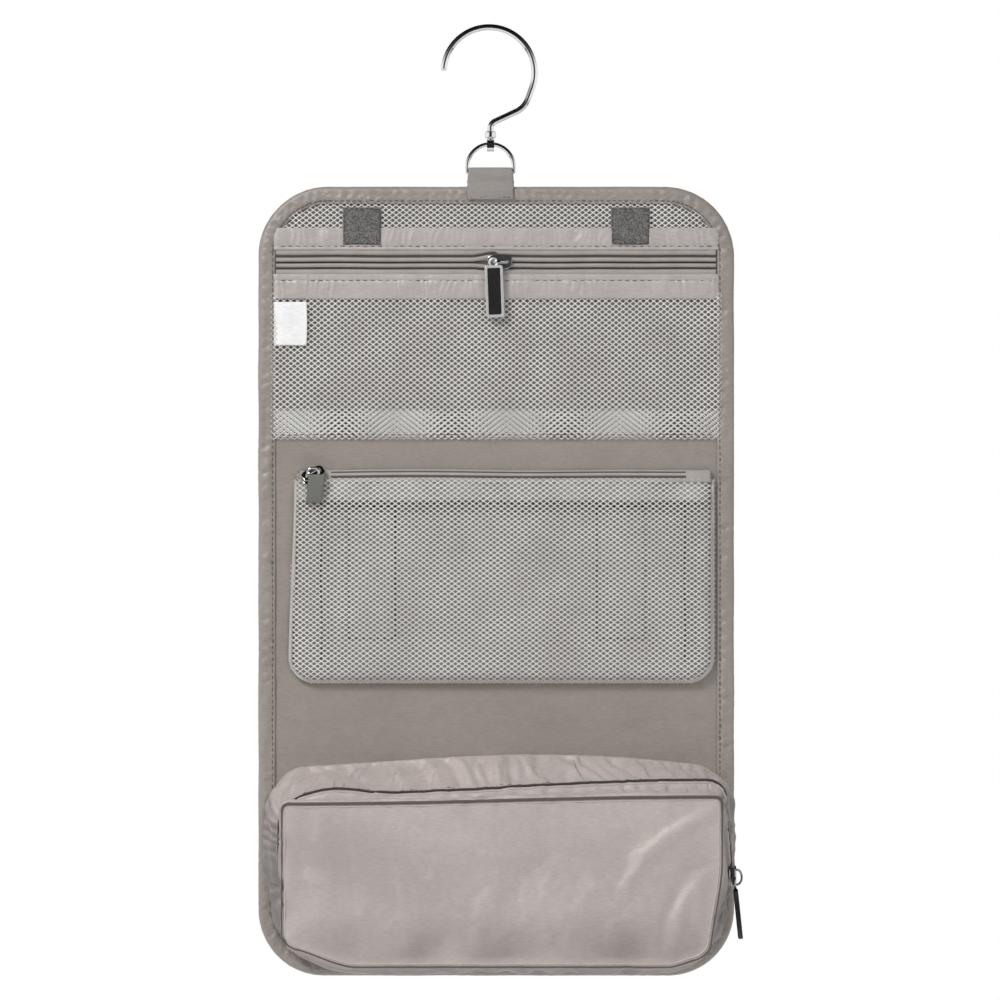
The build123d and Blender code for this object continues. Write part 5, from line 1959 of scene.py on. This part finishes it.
def make_pouch_zip():
    """The pouch's mouth: two tapes that lean together, and the gutters beside their coil, darkened
    with painted shade.
    """
    groove_start, groove_end = POUCH_LEFT + 18 * MM, POUCH_RIGHT - 15 * MM
    columns = 200
    x = np.linspace(POUCH_LEFT + 2 * MM, POUCH_RIGHT - 1 * MM, columns)
    y_net = float(pouch_level(np.array([0.0]), np.array([POUCH_TOP - 1 * MM]))[0])
    lift = 0.35 * MM * ripple(x, 0 * x, 341, 110 * MM, 0, 0.2)
    section = [  # share of the way from the back to the net, height over the pouch's top, gutter (painted shade)
        (0.0, -0.6, 0), (0.02, 1.7, 0), (0.14, 2.3, 0), (0.26, 2.0, 0), (0.29, 1.55, 1),
        (0.33, 0.75, 1), (0.38, 0.70, 0), (0.50, 0.30, 0), (0.58, -0.45, 0), (0.60, -0.60, 1),
        (0.64, -1.35, 1), (0.70, -2.05, 1), (0.84, -2.0, 0), (1.0, -2.5, 0), (1.08, -3.3, 0),
        (1.06, -4.4, 0),
    ]
    points = np.zeros((len(section), columns, 3))
    for k, (share, height, _) in enumerate(section):
        points[k, :, 0] = x
        points[k, :, 1] = POUCH_Y + (y_net - POUCH_Y) * share
        points[k, :, 2] = POUCH_TOP + height * MM + lift
    mouth = mesh_piece("pouch_zip_tapes", points.reshape(-1, 3),
                       grid_faces(len(section), columns), ZIP_TAPE)
    mouth.data.flip_normals()
    mouth.data.materials.append(ZIP_GROOVE_SHADE)
    inner = np.array([row[2] for row in section])
    # Gutter faces between the seams take the dark material, as painted shade.
    for face in mouth.data.polygons:
        row, column = divmod(face.index, columns - 1)
        between = groove_start < x[column] < groove_end
        face.material_index = int(between and inner[row] and inner[row + 1])
    thicken(mouth, 0.3 * MM)
    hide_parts("pouch_zip_back_tape", "pouch_zip_front_tape")
    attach(mouth, "pouch")


def make_pouch_slider():
    low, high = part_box("pouch_slider_body")
    centre = (low + high) / 2
    lean = math.radians(-34)
    along = Vector((math.cos(lean), 0, -math.sin(lean))).normalized()
    out = Vector((0, -0.82, 0.57)).normalized()
    across = out.cross(along).normalized()
    along = across.cross(out)
    place = facing(centre + Vector((-0.6 * MM, 0, -1.2 * MM)), along, across, out)
    make_slider("pouch_slider", place, 12.5 * MM, 7.5 * MM, 4.2 * MM, 0.3 * MM)
    joint = JOINTS["pouch_pull_swing"]["pos_m"]
    ring = []
    for k in range(24):
        angle = 2 * math.pi * k / 24
        ring.append((joint[0] + 3.0 * MM * math.cos(angle) - 0.6 * MM,
                     joint[1] - 0.1 * MM, joint[2] - 0.9 * MM + 2.3 * MM * math.sin(angle)))
    link = joined("pouch_pull_ring", [tube(ring, 0.6 * MM, 8, True)], CHROME)
    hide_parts("pouch_pull_link")
    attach(link, "pouch_pull")
    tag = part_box("pouch_pull_tag")
    u, v = np.meshgrid(np.linspace(-1, 1, 18), np.linspace(0, 1, 28))
    middle = (tag[0].x + tag[1].x) / 2
    z = tag[1].z + 1.2 * MM - v * (tag[1].z - tag[0].z + 0.4 * MM)
    x = middle + 1.4 * MM - 1.7 * MM * v + u * (4.3 * MM - 0.25 * MM * v)
    y = joint[1] - 0.3 * MM - 0.5 * MM * np.sin(v * math.pi) + 0.1 * MM * u ** 2
    y = y + 0.08 * MM * ripple(x, z, 351, 5 * MM)
    leaf = sheet_piece("pouch_pull_leaf", x, y, z, TAG_CLOTH, 1.1 * MM, 0)
    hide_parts("pouch_pull_tag")
    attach(leaf, "pouch_pull")


make_top_slider()
make_pocket_slider()
make_pocket()
make_pouch()
make_pouch_slider()


# ---- Stage -----------------------------------------------------------------------------------
def area_light(name, place, aim, size, power, colour=(1, 1, 1)):
    data = bpy.data.lights.new(name, "AREA")
    data.energy = power
    data.color = colour
    data.shape = "RECTANGLE"
    data.size, data.size_y = size
    light = bpy.data.objects.new(name, data)
    light.location = place
    light.rotation_euler = (Vector(aim) - Vector(place)).to_track_quat("-Z", "Y").to_euler()
    bpy.context.scene.collection.objects.link(light)
    return light


def make_world():
    """White to the camera, softly bright from above to cloth, banded like a studio to metal."""
    world = bpy.data.worlds.new("studio")
    bpy.context.scene.world = world
    world.use_nodes = True
    tree = world.node_tree
    tree.nodes.clear()
    out = tree.nodes.new("ShaderNodeOutputWorld")
    path = tree.nodes.new("ShaderNodeLightPath")
    coords = tree.nodes.new("ShaderNodeTexCoord")
    parts = tree.nodes.new("ShaderNodeSeparateXYZ")
    tree.links.new(coords.outputs["Generated"], parts.inputs[0])

    def glow(strength):
        node = tree.nodes.new("ShaderNodeBackground")
        node.inputs["Strength"].default_value = strength
        return node

    def ramp(source, stops):
        node = tree.nodes.new("ShaderNodeValToRGB")
        ramp_stops = node.color_ramp.elements
        while len(ramp_stops) < len(stops):
            ramp_stops.new(0.5)
        for stop, (position, level) in zip(ramp_stops, stops):
            stop.position = position
            stop.color = (level, level, level, 1)
        tree.links.new(source, node.inputs["Fac"])
        return node.outputs["Color"]

    def math_of(operation, axis, *values):
        node = tree.nodes.new("ShaderNodeMath")
        node.operation = operation
        tree.links.new(parts.outputs[axis], node.inputs[0])
        for k, value in enumerate(values):
            node.inputs[k + 1].default_value = value
        return node.outputs[0]

    def combined(operation, first, second):
        node = tree.nodes.new("ShaderNodeMix")
        node.data_type = "RGBA"
        node.blend_type = operation
        node.inputs["Factor"].default_value = 1.0
        tree.links.new(first, node.inputs[6])
        tree.links.new(second, node.inputs[7])
        return node.outputs[2]

    def switched(ray, usual, special):
        node = tree.nodes.new("ShaderNodeMixShader")
        tree.links.new(path.outputs[ray], node.inputs[0])
        tree.links.new(usual.outputs[0], node.inputs[1])
        tree.links.new(special.outputs[0], node.inputs[2])
        return node

    height = math_of("MULTIPLY_ADD", "Z", 0.5, 0.5)
    ahead = math_of("MULTIPLY_ADD", "Y", -0.5, 0.5)
    seen, soft, metal = glow(1.0), glow(1.0), glow(1.0)
    seen.inputs["Color"].default_value = (1, 1, 1, 1)
    upward = ramp(height, [(0.0, 0.35), (0.5, 0.75), (1.0, 1.0)])
    facing_light = ramp(ahead, [(0.0, 0.14), (0.5, 0.09), (0.8, 0.36), (1.0, 0.64)])
    overhead = ramp(height, [(0.0, 0.0), (0.6, 0.02), (1.0, 0.5)])
    on_cloth = combined("ADD", combined("MULTIPLY", upward, facing_light), overhead)
    tree.links.new(on_cloth, soft.inputs["Color"])
    sides = ramp(math_of("ABSOLUTE", "X"), [(0.3, 0.02), (0.7, 0.95)])
    level = ramp(math_of("ABSOLUTE", "Z"), [(0.22, 1.0), (0.5, 0.02)])
    tree.links.new(combined("MULTIPLY", sides, level), metal.inputs["Color"])
    lit = switched("Is Glossy Ray", soft, metal)
    shown = switched("Is Camera Ray", lit, seen)
    tree.links.new(shown.outputs[0], out.inputs["Surface"])


def keep_off_metal(lights):
    """The hook and ring are polished: these lights would only burn white streaks on them."""
    left_out = bpy.data.collections.new("lit_by_world_only")
    for node in HOOK_METAL:
        left_out.objects.link(frame["nodes"][node])
    for item in left_out.collection_objects:
        item.light_linking.link_state = "EXCLUDE"
    for light in lights:
        light.light_linking.receiver_collection = left_out


def make_stage():
    """The floor, the world, three lamps and the camera, which looks straight at the front."""
    bpy.ops.mesh.primitive_plane_add(size=2.4, location=(0, 0, PANEL_BOTTOM - 0.2))
    floor = bpy.context.active_object
    floor.name = "studio_floor"
    floor.data.materials.append(floor_material())
    make_world()
    aim = (0, 0, -0.28)
    key = area_light("key", (-1.05, -1.35, 1.1), aim, (0.5, 0.5), 25)
    fill = area_light("fill", (0.6, -2.0, 0.1), aim, (1.0, 1.0), 3.5)
    keep_off_metal([key, fill])
    back = area_light("back", (0.5, 1.9, 0.5), aim, (1.0, 1.0), 16)
    back.visible_glossy = False
    camera_data = bpy.data.cameras.new("camera")
    camera_data.sensor_width = 36
    distance = 2.5
    shown = 0.53
    camera_data.lens = 36 * distance / shown
    camera = bpy.data.objects.new("camera", camera_data)
    camera.location = (0.005, -distance, -0.249)
    camera.rotation_euler = (math.pi / 2, 0, 0)
    bpy.context.scene.collection.objects.link(camera)
    bpy.context.scene.camera = camera
    bpy.context.scene.view_settings.view_transform = "Standard"


make_stage()
